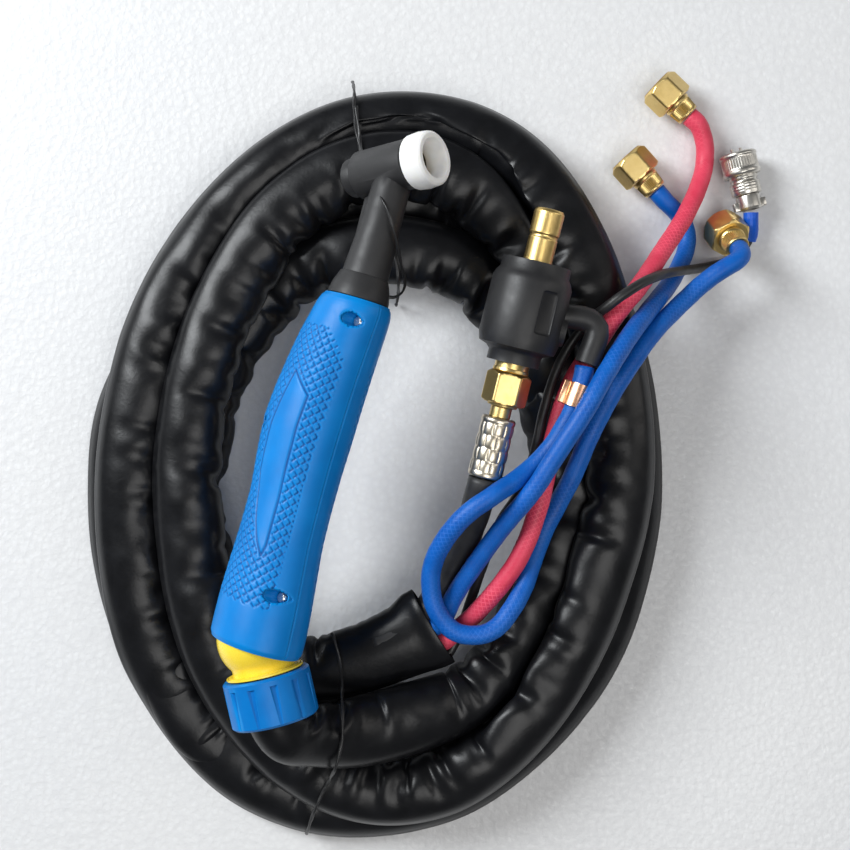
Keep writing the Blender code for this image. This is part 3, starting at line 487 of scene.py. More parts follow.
def make_machined():
    ends = {"gas": ((192.4, 232.5, 10.4), (0.694658, 0.719340, 0), (-0.719340, 0.694658, 0)),
            "inlet": ((177.1, 197.8, 10.4), (0.743145, 0.669131, 0), (-0.669131, 0.743145, 0)),
            "return": ((212.4, 169.5, 23.4), (0.936672, 0.350207, 0), (-0.225109, 0.602081, -0.766044))}
    for label, (o, x, y) in ends.items():
        thread = []
        for k in range(4):
            thread += [(20.4 - 0.9 * k, 6.3), (19.95 - 0.9 * k, 6.75)]
        machined(label + "_nut", o, x, y, [(8.6, 4.5), (8.6, 10.6), (21.1, 10.6), (21.1, 6.9)] + thread + [(16.9, 6.6), (16.9, 4.5)],
                 shape=hexagon(9.9, 8.6, 21.1, 1.7, 0.95, 8.0), turn=12.0)
        machined(label + "_ferrule", o, x, y, [(0.4, 3.2), (0.4, 5.2), (1.0, 5.45), (6.9, 6.0), (7.3, 6.35), (8.3, 6.35), (8.4, 4.1), (15.8, 4.0), (15.8, 3.2)],
                 steps=176, shape=knurl(44, 0.30, 1.2, 6.8))
    o, x, y = (112.7, 137.5, 63.0), (0.971713, -0.236164, 0), (0.235589, 0.969346, 0.069756)
    machined("power_nut", o, x, y, [(-24.9, 5.4), (-24.9, 7.6), (-26.3, 7.9), (-26.4, 10.6), (-40.4, 10.6), (-40.5, 6.6), (-41.4, 6.4), (-41.4, 5.4)],
             shape=hexagon(9.9, -40.4, -26.4, 1.7, 1.3, 8.0))

    def crimped(yy, t, r):
        row = np.abs(np.sin(math.pi * (yy + 48.6) / 5.6))
        col = np.abs(np.sin(4.5 * t + 0.5 * math.pi * (np.floor((yy + 48.6) / 5.6) % 2)))
        on = np.clip((-48.4 - yy) / 0.6, 0, 1) * np.clip((yy + 70.6) / 0.6, 0, 1)
        return np.where(r > 6, r - on * (0.50 - 0.50 * (row * col) ** 0.42), r)
    machined("power_ferrule", o, x, y, [(-46.3, 4.9), (-46.3, 6.9), (-47.2, 7.5), (-72.0, 7.6), (-72.6, 7.2), (-72.6, 6.72), (-71.5, 6.72), (-47.4, 4.9)],
             steps=144, shape=crimped, step=0.4)

    def pin(yy, t, r):
        notch = np.exp(-((t - 5.9) / 0.55) ** 4) * (np.abs(yy - 38.6) < 1.7)
        return np.where(r > 5.5, r - 1.1 * notch, r)
    machined("plug_pin", o, x, y, [(10.2, 3.0), (10.2, 4.6), (21.6, 4.6), (21.6, 6.2), (31.6, 6.25), (32.0, 5.95), (33.1, 5.95), (33.5, 6.5), (42.9, 6.5),
                                   (44.1, 5.7), (44.1, 3.2), (36.0, 3.0)], shape=pin)
    o, x, y = (221.2, 189.0, 9.4), (0.971961, 0.235142, 0), (-0.235142, 0.971961, 0)
    machined("plug_ring", o, x, y, [(16.2, 6.65), (16.2, 8.1), (17.2, 8.75), (18.6, 8.75), (18.9, 8.35), (25.0, 8.35), (25.3, 8.7), (26.4, 8.6), (27.1, 7.7), (27.1, 6.65)],
             steps=192, shape=knurl(48, 0.16, 19.0, 24.9), step=0.4)

    def shell(yy, t, r):
        ring = 0.10 * np.sin(2 * math.pi * yy / 1.4) * ((yy > 9.4) & (yy < 12.3))
        return np.where(r > 6.3, r + ring, r)
    machined("plug_shell", o, x, y, [(7.3, 3.6), (7.3, 6.7), (8.9, 6.95), (12.6, 6.95), (13.0, 6.3), (13.6, 6.05), (14.3, 6.05), (14.7, 6.5), (26.3, 6.5), (26.3, 5.6), (10.0, 5.6), (9.2, 3.6)],
             steps=120, shape=shell, step=0.4)


for node, mat in FINISH.items():
    slots = N[node].data.materials
    if len(slots):
        for i in range(len(slots)):
            slots[i] = mat
    else:
        slots.append(mat)
make_machined()
for node, e in EDGES.items():
    finer(node, *e)


# ---------------------------------------------------------------- lines
def catmull(points, per=10):
    p = [np.array(q, float) for q in points]
    q = [2 * p[0] - p[1]] + p + [2 * p[-1] - p[-2]]
    out = []
    for i in range(1, len(q) - 2):
        a, b, c, d = q[i - 1:i + 3]
        for k in range(per):
            t = k / per
            out.append(0.5 * (2 * b + (c - a) * t + (2 * a - 5 * b + 4 * c - d) * t * t
                              + (3 * b - a - 3 * c + d) * t ** 3))
    out.append(q[-2])
    return np.array(out)


def even(line, step, dims=3):
    """Same line, a point every `step`; columns past the third ride along."""
    d = np.r_[0.0, np.cumsum(np.linalg.norm(np.diff(line[:, :dims], axis=0), axis=1))]
    n = max(2, int(round(d[-1] / step)))
    s = np.linspace(0, d[-1], n + 1)
    return np.stack([np.interp(s, d, line[:, k]) for k in range(line.shape[1])], 1), d[-1]


def frames(line):
    """Tangent, level side and up along a line."""
    t = np.gradient(line[:, :3], axis=0)
    t /= np.linalg.norm(t, axis=1)[:, None]
    side = np.cross(np.array([0, 0, 1.0]), t)
    n = np.linalg.norm(side, axis=1)
    for i in np.where(n < 0.15)[0]:
        side[i] = side[i - 1] if i else np.array([1.0, 0, 0])
    side /= np.linalg.norm(side, axis=1)[:, None]
    up = np.cross(t, side)
    up /= np.linalg.norm(up, axis=1)[:, None]
    return t, side, up


def length_of(line):
    return float(np.linalg.norm(np.diff(line[:, :3], axis=0), axis=1).sum())


def sweep(name, line, radius, mat, around=20, caps=True, relief=None, surface=None):
    """Closed tube round a line in mm, its UV map in millimetres along and around."""
    t, side, up = frames(line)
    m = len(line)
    s = np.r_[0.0, np.cumsum(np.linalg.norm(np.diff(line[:, :3], axis=0), axis=1))]
    r = np.full(m, float(radius))
    if relief is not None:
        r = relief(s, s[-1], r)
    a = np.linspace(0, 2 * math.pi, around, endpoint=False)
    rr = r[:, None] * np.ones(around)[None, :]
    if surface is not None:
        rr = rr + surface(s[:, None], a[None, :])
    v = (line[:, None, :3] + side[:, None, :] * (rr * np.cos(a)[None, :])[:, :, None]
         + up[:, None, :] * (rr * np.sin(a)[None, :])[:, :, None])
    verts = (v.reshape(-1, 3) * MM).tolist()
    faces, uvs = [], []
    pitch = 2 * math.pi * radius / around
    for i in range(m - 1):
        for k in range(around):
            j = (k + 1) % around
            faces.append((i * around + k, i * around + j, (i + 1) * around + j, (i + 1) * around + k))
            uvs += [(s[i], k * pitch), (s[i], (k + 1) * pitch), (s[i + 1], (k + 1) * pitch), (s[i + 1], k * pitch)]
    if caps:
        faces.append(tuple(range(around - 1, -1, -1)))
        faces.append(tuple((m - 1) * around + k for k in range(around)))
        uvs += [(0.0, 0.0)] * (2 * around)
    me = grid_mesh(name, verts, faces, uvs)
    if caps:
        for p in (me.polygons[-1], me.polygons[-2]):
            p.use_smooth = False
    return show(name, me, mat)


def hose_material(name, hi, lo, braid=0.5):
    """Smooth extruded hose with the faint lattice of the braid under its skin."""
    m = Nodes(name)
    uv = m.node("ShaderNodeTexCoord").outputs["UV"]
    a = m.node("ShaderNodeMapping", {"Vector": uv, "Rotation": (0, 0, math.radians(38)), "Scale": (1, 1, 1)}).outputs["Vector"]
    b = m.node("ShaderNodeMapping", {"Vector": uv, "Rotation": (0, 0, math.radians(-38)), "Scale": (1, 1, 1)}).outputs["Vector"]
    wa = m.wave(a, 0.17, 0.6, dscale=0.4)
    wb = m.wave(b, 0.17, 0.6, dscale=0.4)
    lat = m.math("MAXIMUM", m.ramp(wa, [(0.80, 0.0), (0.97, 1.0)]), m.ramp(wb, [(0.80, 0.0), (0.97, 1.0)]))
    v = m.coords()
    patch = m.ramp(m.noise(v, 45.0, 3.0), [(0.42, 0.0), (0.62, 1.0)])
    cloud = m.noise(v, 110.0, 4.0, 0.6)
    fine = m.noise(v, 1500.0, 3.0, 0.6)
    mark = m.math("MULTIPLY", lat, m.math("MULTIPLY", patch, braid))
    light_tone = tuple(min(1.0, x * 1.25 + 0.05) for x in hi)
    base = m.mix(mark, m.ramp(cloud, [(0.28, lo), (0.72, hi)]), light_tone)
    m.set(base=base, rough=m.ramp(cloud, [(0.25, 0.38), (0.75, 0.52)]), spec=0.34, coat=0.0, coat_rough=0.4)
    h = m.math("ADD", m.math("MULTIPLY", lat, -0.35), m.math("ADD", m.math("MULTIPLY", fine, 0.35), m.math("MULTIPLY", cloud, 0.7)))
    m.bump(h, 0.30, 0.0004)
    return m.m


def sheath_material(name, tone=0.014, rough=(0.40, 0.55)):
    m = Nodes(name)
    v = m.coords()
    c = m.noise(v, 90.0, 4.0, 0.6)
    g = m.noise(v, 1700.0, 3.0, 0.6)
    m.set(base=m.ramp(c, [(0.3, (tone, tone, tone * 1.05)), (0.75, (tone * 2.3, tone * 2.3, tone * 2.4))]),
          rough=m.ramp(c, [(0.25, rough[0]), (0.75, rough[1])]))
    m.bump(m.math("ADD", m.math("MULTIPLY", g, 0.4), c), 0.2, 0.0004)
    return m.m


BLUE_HOSE = hose_material("blue_hose_skin", (0.0, 0.125, 0.52), (0.0, 0.085, 0.41), 0.35)
RED_HOSE = hose_material("red_hose_skin", (0.80, 0.075, 0.135), (0.66, 0.04, 0.085), 0.6)
CABLE = sheath_material("cable_sheath")
THIN_CABLE = sheath_material("control_sheath", 0.012, (0.34, 0.48))

# ---------------------------------------------------------------- cords: routes in mm, as on the frame
POWER_ROUTE = [(95.6, 67.4, 58), (94.2, 61.6, 57.1), (92.2, 53.5, 53.4), (89.2, 44, 47.2), (83.8, 29.7, 39.6), (74.8, 12, 34),
    (68, 3.5, 34.4), (59, -3, 34.6), (48, -8, 34)]
RETURN_ROUTE = [(138.2, 114.5, 62), (136.9, 107.7, 62), (135.3, 101.3, 61.5), (131.2, 91.5, 60.3), (123.2, 78.7, 58.6), (111.9, 68.1, 60.5),
    (99.2, 59.9, 67.6), (87.8, 51.8, 67.2), (79, 41.3, 62.5), (73.5, 29.7, 57), (72.7, 18.2, 54), (75.7, 8.1, 53),
    (82.7, 0.2, 52), (91.8, -1.7, 51.8), (100.5, 1.1, 51.5), (107.6, 9.1, 50), (113.4, 19.2, 47), (117.4, 30, 44.3),
    (122.6, 43.2, 43), (128.6, 55.2, 44.5), (134.6, 67.6, 48.3), (141.9, 85, 49.4), (151.5, 103.3, 49.6), (160, 116.5, 48.4),
    (170.3, 130, 43), (183.2, 142.4, 33.6), (194.6, 152.8, 31.6), (203, 158.9, 32.8), (209, 162.4, 31.9), (212.4, 165.8, 28.6),
    (212.4, 169.5, 23.4)]
INLET_ROUTE = [(51, -6.5, 32.5), (63, -3.5, 34.5), (71, -1, 37), (77.2, 2.4, 41.4), (83.2, 15.1, 46), (90.5, 27, 51),
    (103.1, 45.3, 58), (115.8, 61.5, 65.2), (125.6, 77.2, 69), (137.2, 95.3, 71), (146.2, 110.7, 67.6), (157.2, 126.7, 57.5),
    (169.2, 140.5, 41.5), (180.3, 152.4, 23.5), (188.7, 164.5, 10), (192.4, 174.2, 5.6), (191.2, 182.6, 5.6), (186.4, 188.8, 8.2),
    (181.1, 193.3, 10.2), (177.1, 197.8, 10.4)]
GAS_ROUTE = [(56, -14, 34), (67, -11.5, 34.5), (78.1, -7, 35.2), (84.7, -1, 38), (92.1, 6.1, 41.5), (103.7, 20.5, 48),
    (112.6, 35.2, 51), (119.5, 54.8, 52), (124, 74.2, 50), (127.1, 87.2, 48.8), (130.2, 98.1, 48.8), (135.8, 111.2, 48.8),
    (145, 125.1, 48.8), (154.2, 138.7, 48), (164.6, 150.9, 43), (176.3, 166.9, 31), (188.3, 183.9, 19.5), (196.7, 199.6, 10.5),
    (200.2, 211, 7), (199.9, 220.6, 8.2), (196.9, 228.1, 10.2), (192.4, 232.5, 10.4)]
CONTROL_ROUTE = [(58, -19, 31), (68, -18.5, 30.5), (78.6, -15.1, 30.5), (84.5, -6.1, 30.4), (89.8, 9, 33), (96.1, 29.1, 42),
    (102.9, 47, 46.6), (112, 61, 46.6), (117.7, 76.3, 46.6), (122.1, 96, 46.6), (127.3, 112.6, 46.6), (133.4, 124.3, 46.6),
    (140.9, 134.1, 50), (148.9, 140.6, 55.5), (156.4, 146.1, 57), (165.7, 151.7, 52.5), (175.4, 155.9, 41.8), (185.2, 158.8, 27.8),
    (195.3, 161.5, 12.4), (204.3, 163.8, 4), (212.1, 166.3, 2.6), (218.4, 171.4, 3), (221.8, 177.6, 5.4), (221.4, 184.2, 8.6),
    (221.3, 188, 9.3)]
NECK_TIE = [(40, 228.8, 46.5), (40.9, 220.7, 47.5), (42.3, 210.6, 50), (44.5, 202.6, 60), (46.9, 195.1, 68.5), (49.7, 188.5, 75), (52.4, 182.6, 80.5), (54.5, 177.8, 82.3), (56.5, 172.5, 82), (57.7, 168.2, 80), (58.9, 162.5, 76), (60.4, 155.4, 69.5), (61.6, 150.5, 64), (60.7, 146.5, 61), (57.3, 144.1, 59.5), (53.4, 144.1, 60)]
TOP_TIE = [(36.4, 248.9, 4), (37.6, 243.5, 22), (38.4, 237.9, 34), (38.5, 230.2, 44), (39.1, 223.6, 46), (40.8, 214, 46), (43.4, 203.1, 46), (46.9, 192.2, 46), (50.8, 181.4, 45), (54.7, 170.6, 44), (57.3, 161.2, 42), (58.1, 153.6, 38), (57.5, 146.9, 30), (56.9, 145, 20), (56.6, 146.1, 8)]
BOTTOM_TIE = [(27.6, -10.4, 12), (28.2, -6.2, 24), (28.8, -3.8, 34), (29.5, -4.1, 41), (31.1, -9.2, 45), (33.3, -19.7, 45), (34.6, -30.2, 45), (35.1, -40.3, 45), (33.3, -52.5, 45), (29.7, -62, 44), (26.2, -70.6, 43), (22.2, -79.4, 38), (18.9, -87.5, 30), (16.6, -95.5, 18), (15, -100.7, 5)]


def cord_line(route, step, trim=(0.0, 0.0)):
    line, total = even(catmull(route, 12), 0.25)
    n0, n1 = int(trim[0] / 0.25), int(trim[1] / 0.25)
    line = line[n0:len(line) - n1]
    return even(line, step)


def smooth_step(x, a, b):
    t = np.clip((x - a) / (b - a), 0, 1)
    return t * t * (3 - 2 * t)


def slight(amp, seed):
    """Uneven skin of an extruded hose, a few hundredths of a millimetre."""
    def f(s, a):
        return amp * (np.sin(s * 0.55 + 2 * np.sin(s * 0.07 + seed) + a) + 0.6 * np.sin(s * 1.3 + 2 * a + seed * 2))
    return f


def flare(s, total, r):
    """Mouth of a hose pushed over its ferrule: a slight swell at the far end."""
    return r * (1 + 0.05 * smooth_step(s, total - 9, total - 3))


cords = {}
for name, route, radius, mat, step, trim, far, exit_, extra, stiff in (
        ("power_lead", POWER_ROUTE, 6.7, CABLE, 2.0, (1.0, 0.0), "object", (0.0961, 0.0684, 0.0582), [], "stiff"),
        ("return_line", RETURN_ROUTE, 4.2, BLUE_HOSE, 1.6, (0.4, 0.0), "fitting", (0.1382, 0.1145, 0.062),
         ["return_nut", "return_ferrule", "return_clamp"], "medium"),
        ("inlet_line", INLET_ROUTE, 4.1, BLUE_HOSE, 1.6, (0.0, 0.0), "fitting", (0.0736, 0.0004, 0.036), ["inlet_nut", "inlet_ferrule"], "medium"),
        ("gas_line", GAS_ROUTE, 4.2, RED_HOSE, 1.6, (0.0, 0.0), "fitting", (0.0736, 0.0004, 0.036), ["gas_nut", "gas_ferrule"], "medium"),
        ("control_line", CONTROL_ROUTE, 2.2, THIN_CABLE, 1.4, (0.0, 0.0), "plug", (0.0736, 0.0004, 0.036),
         ["plug_shell", "plug_ring", "plug_insert", "plug_pin_1", "plug_pin_2", "cable_clamp", "heat_shrink"], "medium")):
    line, total = cord_line(route, step, trim)
    ob = sweep(name, line, radius, mat, around=22 if radius > 3 else 14,
               relief=flare if far == "fitting" else None, surface=slight(0.02 + radius * 0.006, len(route)))
    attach(ob, "cable_set")
    old = {"power_lead": "power_cable", "return_line": "return_hose", "inlet_line": "inlet_hose",
           "gas_line": "gas_hose", "control_line": "control_cable"}[name]
    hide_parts(old)
    cords[name] = (line, radius)

# ---------------------------------------------------------------- handle skin: panel lines, seam and raised scales
T_Y = np.array([0.282341, 0.959314, 0.0])
T_X = np.array([0.654251, -0.192556, 0.731354])
T_Z = np.cross(T_X, T_Y)
T_O = np.array([0.0, 0.0, 72.0])
HANDLE = np.array([(-2.9, 0.0, 18.9), (4, -0.5, 19.1), (14, -1.4, 18.9), (28, -2.6, 18.0),
                   (44, -3.9, 17.0), (60, -4.6, 16.8), (76, -6.2, 17.7), (90, -7.0, 18.5),
                   (104, -6.2, 18.0), (118, -4.6, 17.2), (130, -2.8, 16.4), (140, -0.8, 15.4),
                   (145, 0.1, 14.7), (147.5, 0.4, 13.4)])


# the handle skin's material, with painted shade darkening its grooves and chevron marks
BLUE_SKIN = blue_plastic("azure_skin", grooves=True)


def soft_interp(y, col):
    """Station table read as a rounded line."""
    base = sum(np.interp(y + d, HANDLE[:, 0], HANDLE[:, col]) for d in (-2.4, -0.8, 0.8, 2.4)) / 4
    return base


def seg_dist(p, q, a, b):
    """Distance of every (p, q) to the segment a-b."""
    ax, ay = a
    bx, by = b
    dx, dy = bx - ax, by - ay
    t = np.clip(((p - ax) * dx + (q - ay) * dy) / (dx * dx + dy * dy), 0, 1)
    return np.hypot(p - (ax + t * dx), q - (ay + t * dy))


PANEL = [(112.5, 86), (103.5, 55), (86, 56), (68, 57.5), (52, 58), (40, 58), (35.5, 62), (41, 73), (48, 83), (57, 92), (69, 99),
         (83, 97), (98, 92.5), (112.5, 86)]


def handle_relief(y, arc, r, phi_deg):
    """Height over the handle's own surface, mm: grooves are negative."""
    q = arc
    d = np.full(y.shape, 99.0)
    poly = [(py, (ph - 90) * math.pi / 180 * 17.6) for py, ph in PANEL]
    for a, b in zip(poly, poly[1:]):
        d = np.minimum(d, seg_dist(y, q, a, b))
    inside = np.zeros(y.shape, bool)
    for (ay, aq), (by, bq) in zip(poly, poly[1:]):
        hit = ((aq > q) != (bq > q)) & (y < (by - ay) * (q - aq) / (bq - aq + 1e-12) + ay)
        inside ^= hit
    h = -0.50 * np.exp(-(d / 0.42) ** 2)
    # raised scales: each ends in a step shaped like an arrow head
    py, pq = 4.3, 4.1
    out = np.zeros(y.shape)
    for sy, sq in ((0.0, 0.0), (0.5, 0.5)):
        cy = (np.floor(y / py + sy) - sy + 0.5) * py
        cq = (np.floor(q / pq + sq) - sq + 0.5) * pq
        u, v = y - cy, q - cq
        tip = (0.0, -0.80)
        dd = np.minimum(seg_dist(u, v, (-1.25, 0.42), tip), seg_dist(u, v, tip, (1.15, 0.36)))
        out = np.minimum(out, -0.50 * np.exp(-(dd / 0.34) ** 2))
        behind = v + 0.80 - np.abs(u) * 0.95
        swell = 0.24 * np.exp(-(np.maximum(0, behind - 0.25) / 0.9) ** 2) * (behind > 0.1) * (np.abs(u) < 1.3)
        out = np.where(out < -0.05, out, np.maximum(out, swell))
    lim = np.interp(y, [12, 16, 35, 76, 98, 121, 128, 134], [62, 36, 31, 29, 26, 26, 46, 70])
    zone = (y > 15) & (y < 133) & (phi_deg > lim) & (phi_deg < 180 - lim * 0.85) & (~inside) & (d > 1.1)
    h = h + np.where(zone, out, 0.0)
    return h


def handle_skin(name, lo, hi, sign):
    ys = np.arange(-2.9, 147.6, 0.40)
    step = 0.42 / 17.6
    ph = np.arange(math.radians(lo), math.radians(hi) + step / 2, step)
    Y, P = np.meshgrid(ys, ph, indexing="ij")
    S, W = soft_interp(Y, 1), soft_interp(Y, 2)
    PD = np.degrees(P) if sign > 0 else 360 - np.degrees(P)
    arc = (PD - 90) * math.pi / 180 * 17.6
    lift = 0.50 + handle_relief(Y, arc, W, PD)
    end = np.minimum(Y + 2.9, 147.5 - Y)
    lift = lift - 0.75 * (1 - smooth_step(end, 0.0, 2.2))
    rim = np.minimum(PD - lo if sign > 0 else PD - (360 - hi), (hi if sign > 0 else 360 - lo) - PD) * math.pi / 180 * 17.6
    lift = lift + 0.14 * np.exp(-((rim - 0.5) / 0.35) ** 2) - 0.30 * np.exp(-(rim / 0.22) ** 2)
    ca, sa = np.cos(P), np.sin(P)
    X = S + W * 1.06 * ca
    Zl = W * 0.95 * sa
    nx, nz = ca / 1.06, sa / 0.95
    nn = np.hypot(nx, nz)
    X, Zl = X + lift * nx / nn, Zl + lift * nz / nn
    keep = np.ones((len(ys) - 1, len(ph) - 1), bool)
    X2, Y2 = X.copy(), Y.copy()
    holes = []
    if sign > 0:
        holes = [(11.4, 138.5, 2.9), (14.3, 21.5, 2.9), (-17.6, 88.0, 2.9)]
    for hx, hy, hr in holes:
        d = np.hypot(X2 - hx, Y2 - hy)
        k = (d < hr) & (sa * sign > 0)
        near = (d < hr + 0.55) & (d >= hr) & (sa * sign > 0)
        f = np.where(near, hr / np.maximum(d, 1e-6), 1.0)
        X = np.where(near, hx + (X2 - hx) * f, X)
        Y = np.where(near, hy + (Y2 - hy) * f, Y)
        Zl = np.where(near, Zl - sign * 0.25, Zl)
        keep &= ~(k[:-1, :-1] | k[1:, :-1] | k[:-1, 1:] | k[1:, 1:])
    # opening for the trigger on the spine side
    u, v = (Y2 - 113.0), Zl
    k = (np.abs(u) < 10.5) & (np.abs(v) < 5.0) & (ca < 0)
    keep &= ~(k[:-1, :-1] | k[1:, :-1] | k[:-1, 1:] | k[1:, 1:])
    w = T_O + X[..., None] * T_X + Y[..., None] * T_Y + Zl[..., None] * T_Z
    nphi = len(ph)
    idx = np.arange(len(ys) * nphi).reshape(len(ys), nphi)
    a, b, c, d = idx[:-1, :-1][keep], idx[:-1, 1:][keep], idx[1:, 1:][keep], idx[1:, :-1][keep]
    faces = np.stack([a, b, c, d], 1)
    verts = w.reshape(-1, 3) * MM
    used = np.unique(faces)
    remap = -np.ones(len(verts), int)
    remap[used] = np.arange(len(used))
    verts = verts[used]
    faces = remap[faces]
    me = grid_mesh(name, verts.tolist(), faces.tolist())
    # painted shade: how deep each point lies in a groove or chevron mark, stored as a vertex colour that darkens the
    # blue there
    depth = np.clip(-handle_relief(Y2, arc, W, PD) / 0.26, 0, 1).ravel()[used]
    col = me.color_attributes.new(name="groove_shade", type="FLOAT_COLOR", domain="POINT")
    col.data.foreach_set("color", np.stack([depth, depth, depth, np.ones(len(depth))], 1).astype(np.float32).ravel())
    ob = show(name, me, BLUE_SKIN)
    m = ob.modifiers.new("wall", "SOLIDIFY")
    m.thickness = 0.0005
    m.offset = 1.0 if False else -1.0
    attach(ob, "torch")
    return ob


skin_front = handle_skin("handle_skin_front", 0.6, 179.4, 1)
skin_back = handle_skin("handle_skin_back", 180.6, 359.4, -1)

# ---------------------------------------------------------------- sleeve: a lay-flat film tube wound in four turns
# Stations of its middle line in mm with its half width there: it leaves the
# clamp nut, turns four times (each turn on or beside the last) and ends open.
SLEEVE = [(6.4, -27.9, 72, 13.2), (8, -35.1, 72, 13.6), (13, -42, 68.5, 15), (22, -45.5, 60.5, 16.8), (36, -46, 51, 18.2),
          (52, -44.5, 43, 18.6), (70.1, -40, 36, 18), (88.5, -34.7, 31, 17), (105.3, -20.2, 27, 16), (117.6, 1.2, 25, 15.5),
          (127.8, 22.6, 22, 15), (135.4, 46, 19, 14.5), (138.4, 71.1, 17, 14.5), (137, 98.6, 17, 15), (132.7, 125.9, 19, 15.5),
          (124.7, 151.7, 22, 16), (113.9, 173.9, 26, 17), (98.4, 193.3, 29, 18.5), (80, 204.6, 31, 19), (58.9, 208, 32, 19),
          (37.4, 204.4, 32, 18.5), (15.5, 191.9, 32, 17), (-2.8, 174.4, 32, 15.5), (-17.1, 151.1, 32, 15), (-27.4, 126.5, 32, 14.5),
          (-33.7, 100.6, 32, 14.5), (-36.4, 73.7, 32, 14.5), (-36.4, 46.9, 32, 14.5), (-34.2, 22.3, 32, 14.5), (-28.3, -1.4, 32, 14.5),
          (-19.1, -24, 31, 15), (-5.8, -43.9, 30, 15.5), (12.6, -62.1, 29, 16), (34.1, -74.5, 28, 16.5), (58.8, -78.1, 28, 16.5),
          (80, -72.5, 29, 16), (100.2, -57.8, 30, 15.5), (117.2, -39.2, 31, 15), (130.6, -18.5, 31.5, 14.5), (141.2, 3, 32, 14.5),
          (149.7, 26.8, 32, 14.5), (155.6, 51.4, 32, 14.5), (157.8, 78.2, 32, 14.5), (155.2, 105.1, 31, 15), (150, 132, 30, 15.5),
          (141.6, 158.2, 29, 16), (130.9, 180.8, 28, 16.5), (117.5, 200.8, 27, 16.5), (100.4, 215.4, 26, 16.5), (79.6, 223.3, 25, 16.5),
          (57.9, 225.4, 24, 16), (33.8, 221.7, 24, 16), (11.6, 211.8, 24, 15.5), (-8.8, 195.9, 24, 15.5), (-26.4, 176.4, 24, 15),
          (-40.9, 153.8, 24, 14.5), (-51.8, 130.2, 24, 14.5), (-58.6, 104.4, 24, 14.5), (-63.1, 78.1, 24, 14.5), (-64.1, 51.8, 24, 14.5),
          (-62, 25.8, 23, 14.5), (-56.7, -0.5, 20, 14.5), (-47.9, -27.6, 16, 14.5), (-35.2, -52.4, 12, 14.5), (-16.6, -70.6, 9.6, 14.5),
          (7.5, -82.7, 9.2, 14.5), (33, -87.4, 9, 14.5), (58.5, -86, 9, 14.5), (84, -78.1, 9, 14.5), (107.2, -62.4, 9, 14.5),
          (127.2, -42.9, 9, 14.5), (143.9, -20.1, 9, 14.5), (154.6, 4.9, 9, 14.5), (161.5, 31.4, 9, 14.5), (165.2, 59.2, 9, 14.5),
          (163.8, 89.4, 9, 14.5), (158.7, 118.6, 9, 14.5), (149.9, 145.1, 9, 15), (135.5, 169.2, 9, 16), (115.6, 185.9, 9, 17),
          (89.1, 195.2, 9, 17.5), (58.5, 197.5, 9, 17.5), (27.9, 193.8, 9, 17), (2.8, 183.6, 9, 16), (-18.5, 167.8, 9, 15),
          (-37.6, 147.4, 9, 14.5), (-52.9, 124.2, 9, 14.5), (-67.7, 95.4, 9, 14.5), (-71, 66.2, 9, 14.5), (-70.1, 37, 9, 14.5),
          (-64, 8.2, 9, 14.5), (-52.9, -18.3, 9, 14.5), (-36.6, -41.9, 9, 14.5), (-13.4, -55.9, 9, 14.5), (14.4, -51.2, 9, 15.5),
          (42.3, -48.4, 9, 16), (70.1, -45.6, 9, 16), (95.6, -38.2, 9, 15.5), (116, -25.2, 9, 14.5), (129, -0.2, 9, 14.5),
          (136.5, 26.7, 9, 14.5), (138.3, 54.6, 9, 14.5), (133.6, 82.4, 9.5, 14.5), (125.6, 108.4, 11, 14.5), (114.4, 132.3, 13, 15),
          (99.4, 154.5, 17, 17), (79.2, 166.5, 20, 18), (58.7, 170.5, 21, 18), (36.8, 170.6, 20, 17.5), (15.6, 164, 18, 16.5),
          (-2.9, 149.6, 15.5, 15), (-17.5, 128.6, 13, 14.5), (-28.8, 106.5, 11.5, 14.5), (-35.9, 82.5, 10.5, 14.5), (-37.9, 57, 10, 14.5),
          (-35, 31.5, 10.5, 14.5), (-27.7, 7.8, 13, 14.5), (-14.5, -11.2, 18.5, 14.5), (4.5, -20.6, 25, 14.5), (23.9, -21, 30, 15),
          (42.9, -15, 33.5, 16.2), (59.9, -7.6, 35.4, 17.6), (73.6, 0.4, 36, 18.4)]


def film_material():
    m = Nodes("black_film")
    v = m.coords()
    broad = m.noise(v, 26.0, 3.0, 0.5)
    haze = m.noise(v, 75.0, 4.0, 0.62, 0.4)
    peel = m.noise(v, 620.0, 3.0, 0.6)
    crinkle = m.noise(m.coords(scale=(1, 1, 1)), 210.0, 4.0, 0.6, 0.8)
    dust = m.ramp(m.noise(v, 900.0, 2.0, 0.9), [(0.70, 0.0), (0.80, 1.0)])
    tone = m.ramp(haze, [(0.3, (0.0030, 0.0032, 0.0040)), (0.75, (0.0068, 0.0072, 0.0088))])
    m.set(base=m.mix(m.math("MULTIPLY", dust, 0.10), tone, (0.20, 0.20, 0.21)),
          rough=m.math("ADD", m.math("MULTIPLY", haze, 0.16), m.math("ADD", m.math("MULTIPLY", broad, 0.10), 0.20)), spec=0.34)
    m.bump(m.math("ADD", m.math("MULTIPLY", peel, 0.25), m.math("MULTIPLY", crinkle, 0.8)), 0.22, 0.0005)
    return m.m


FILM = film_material()


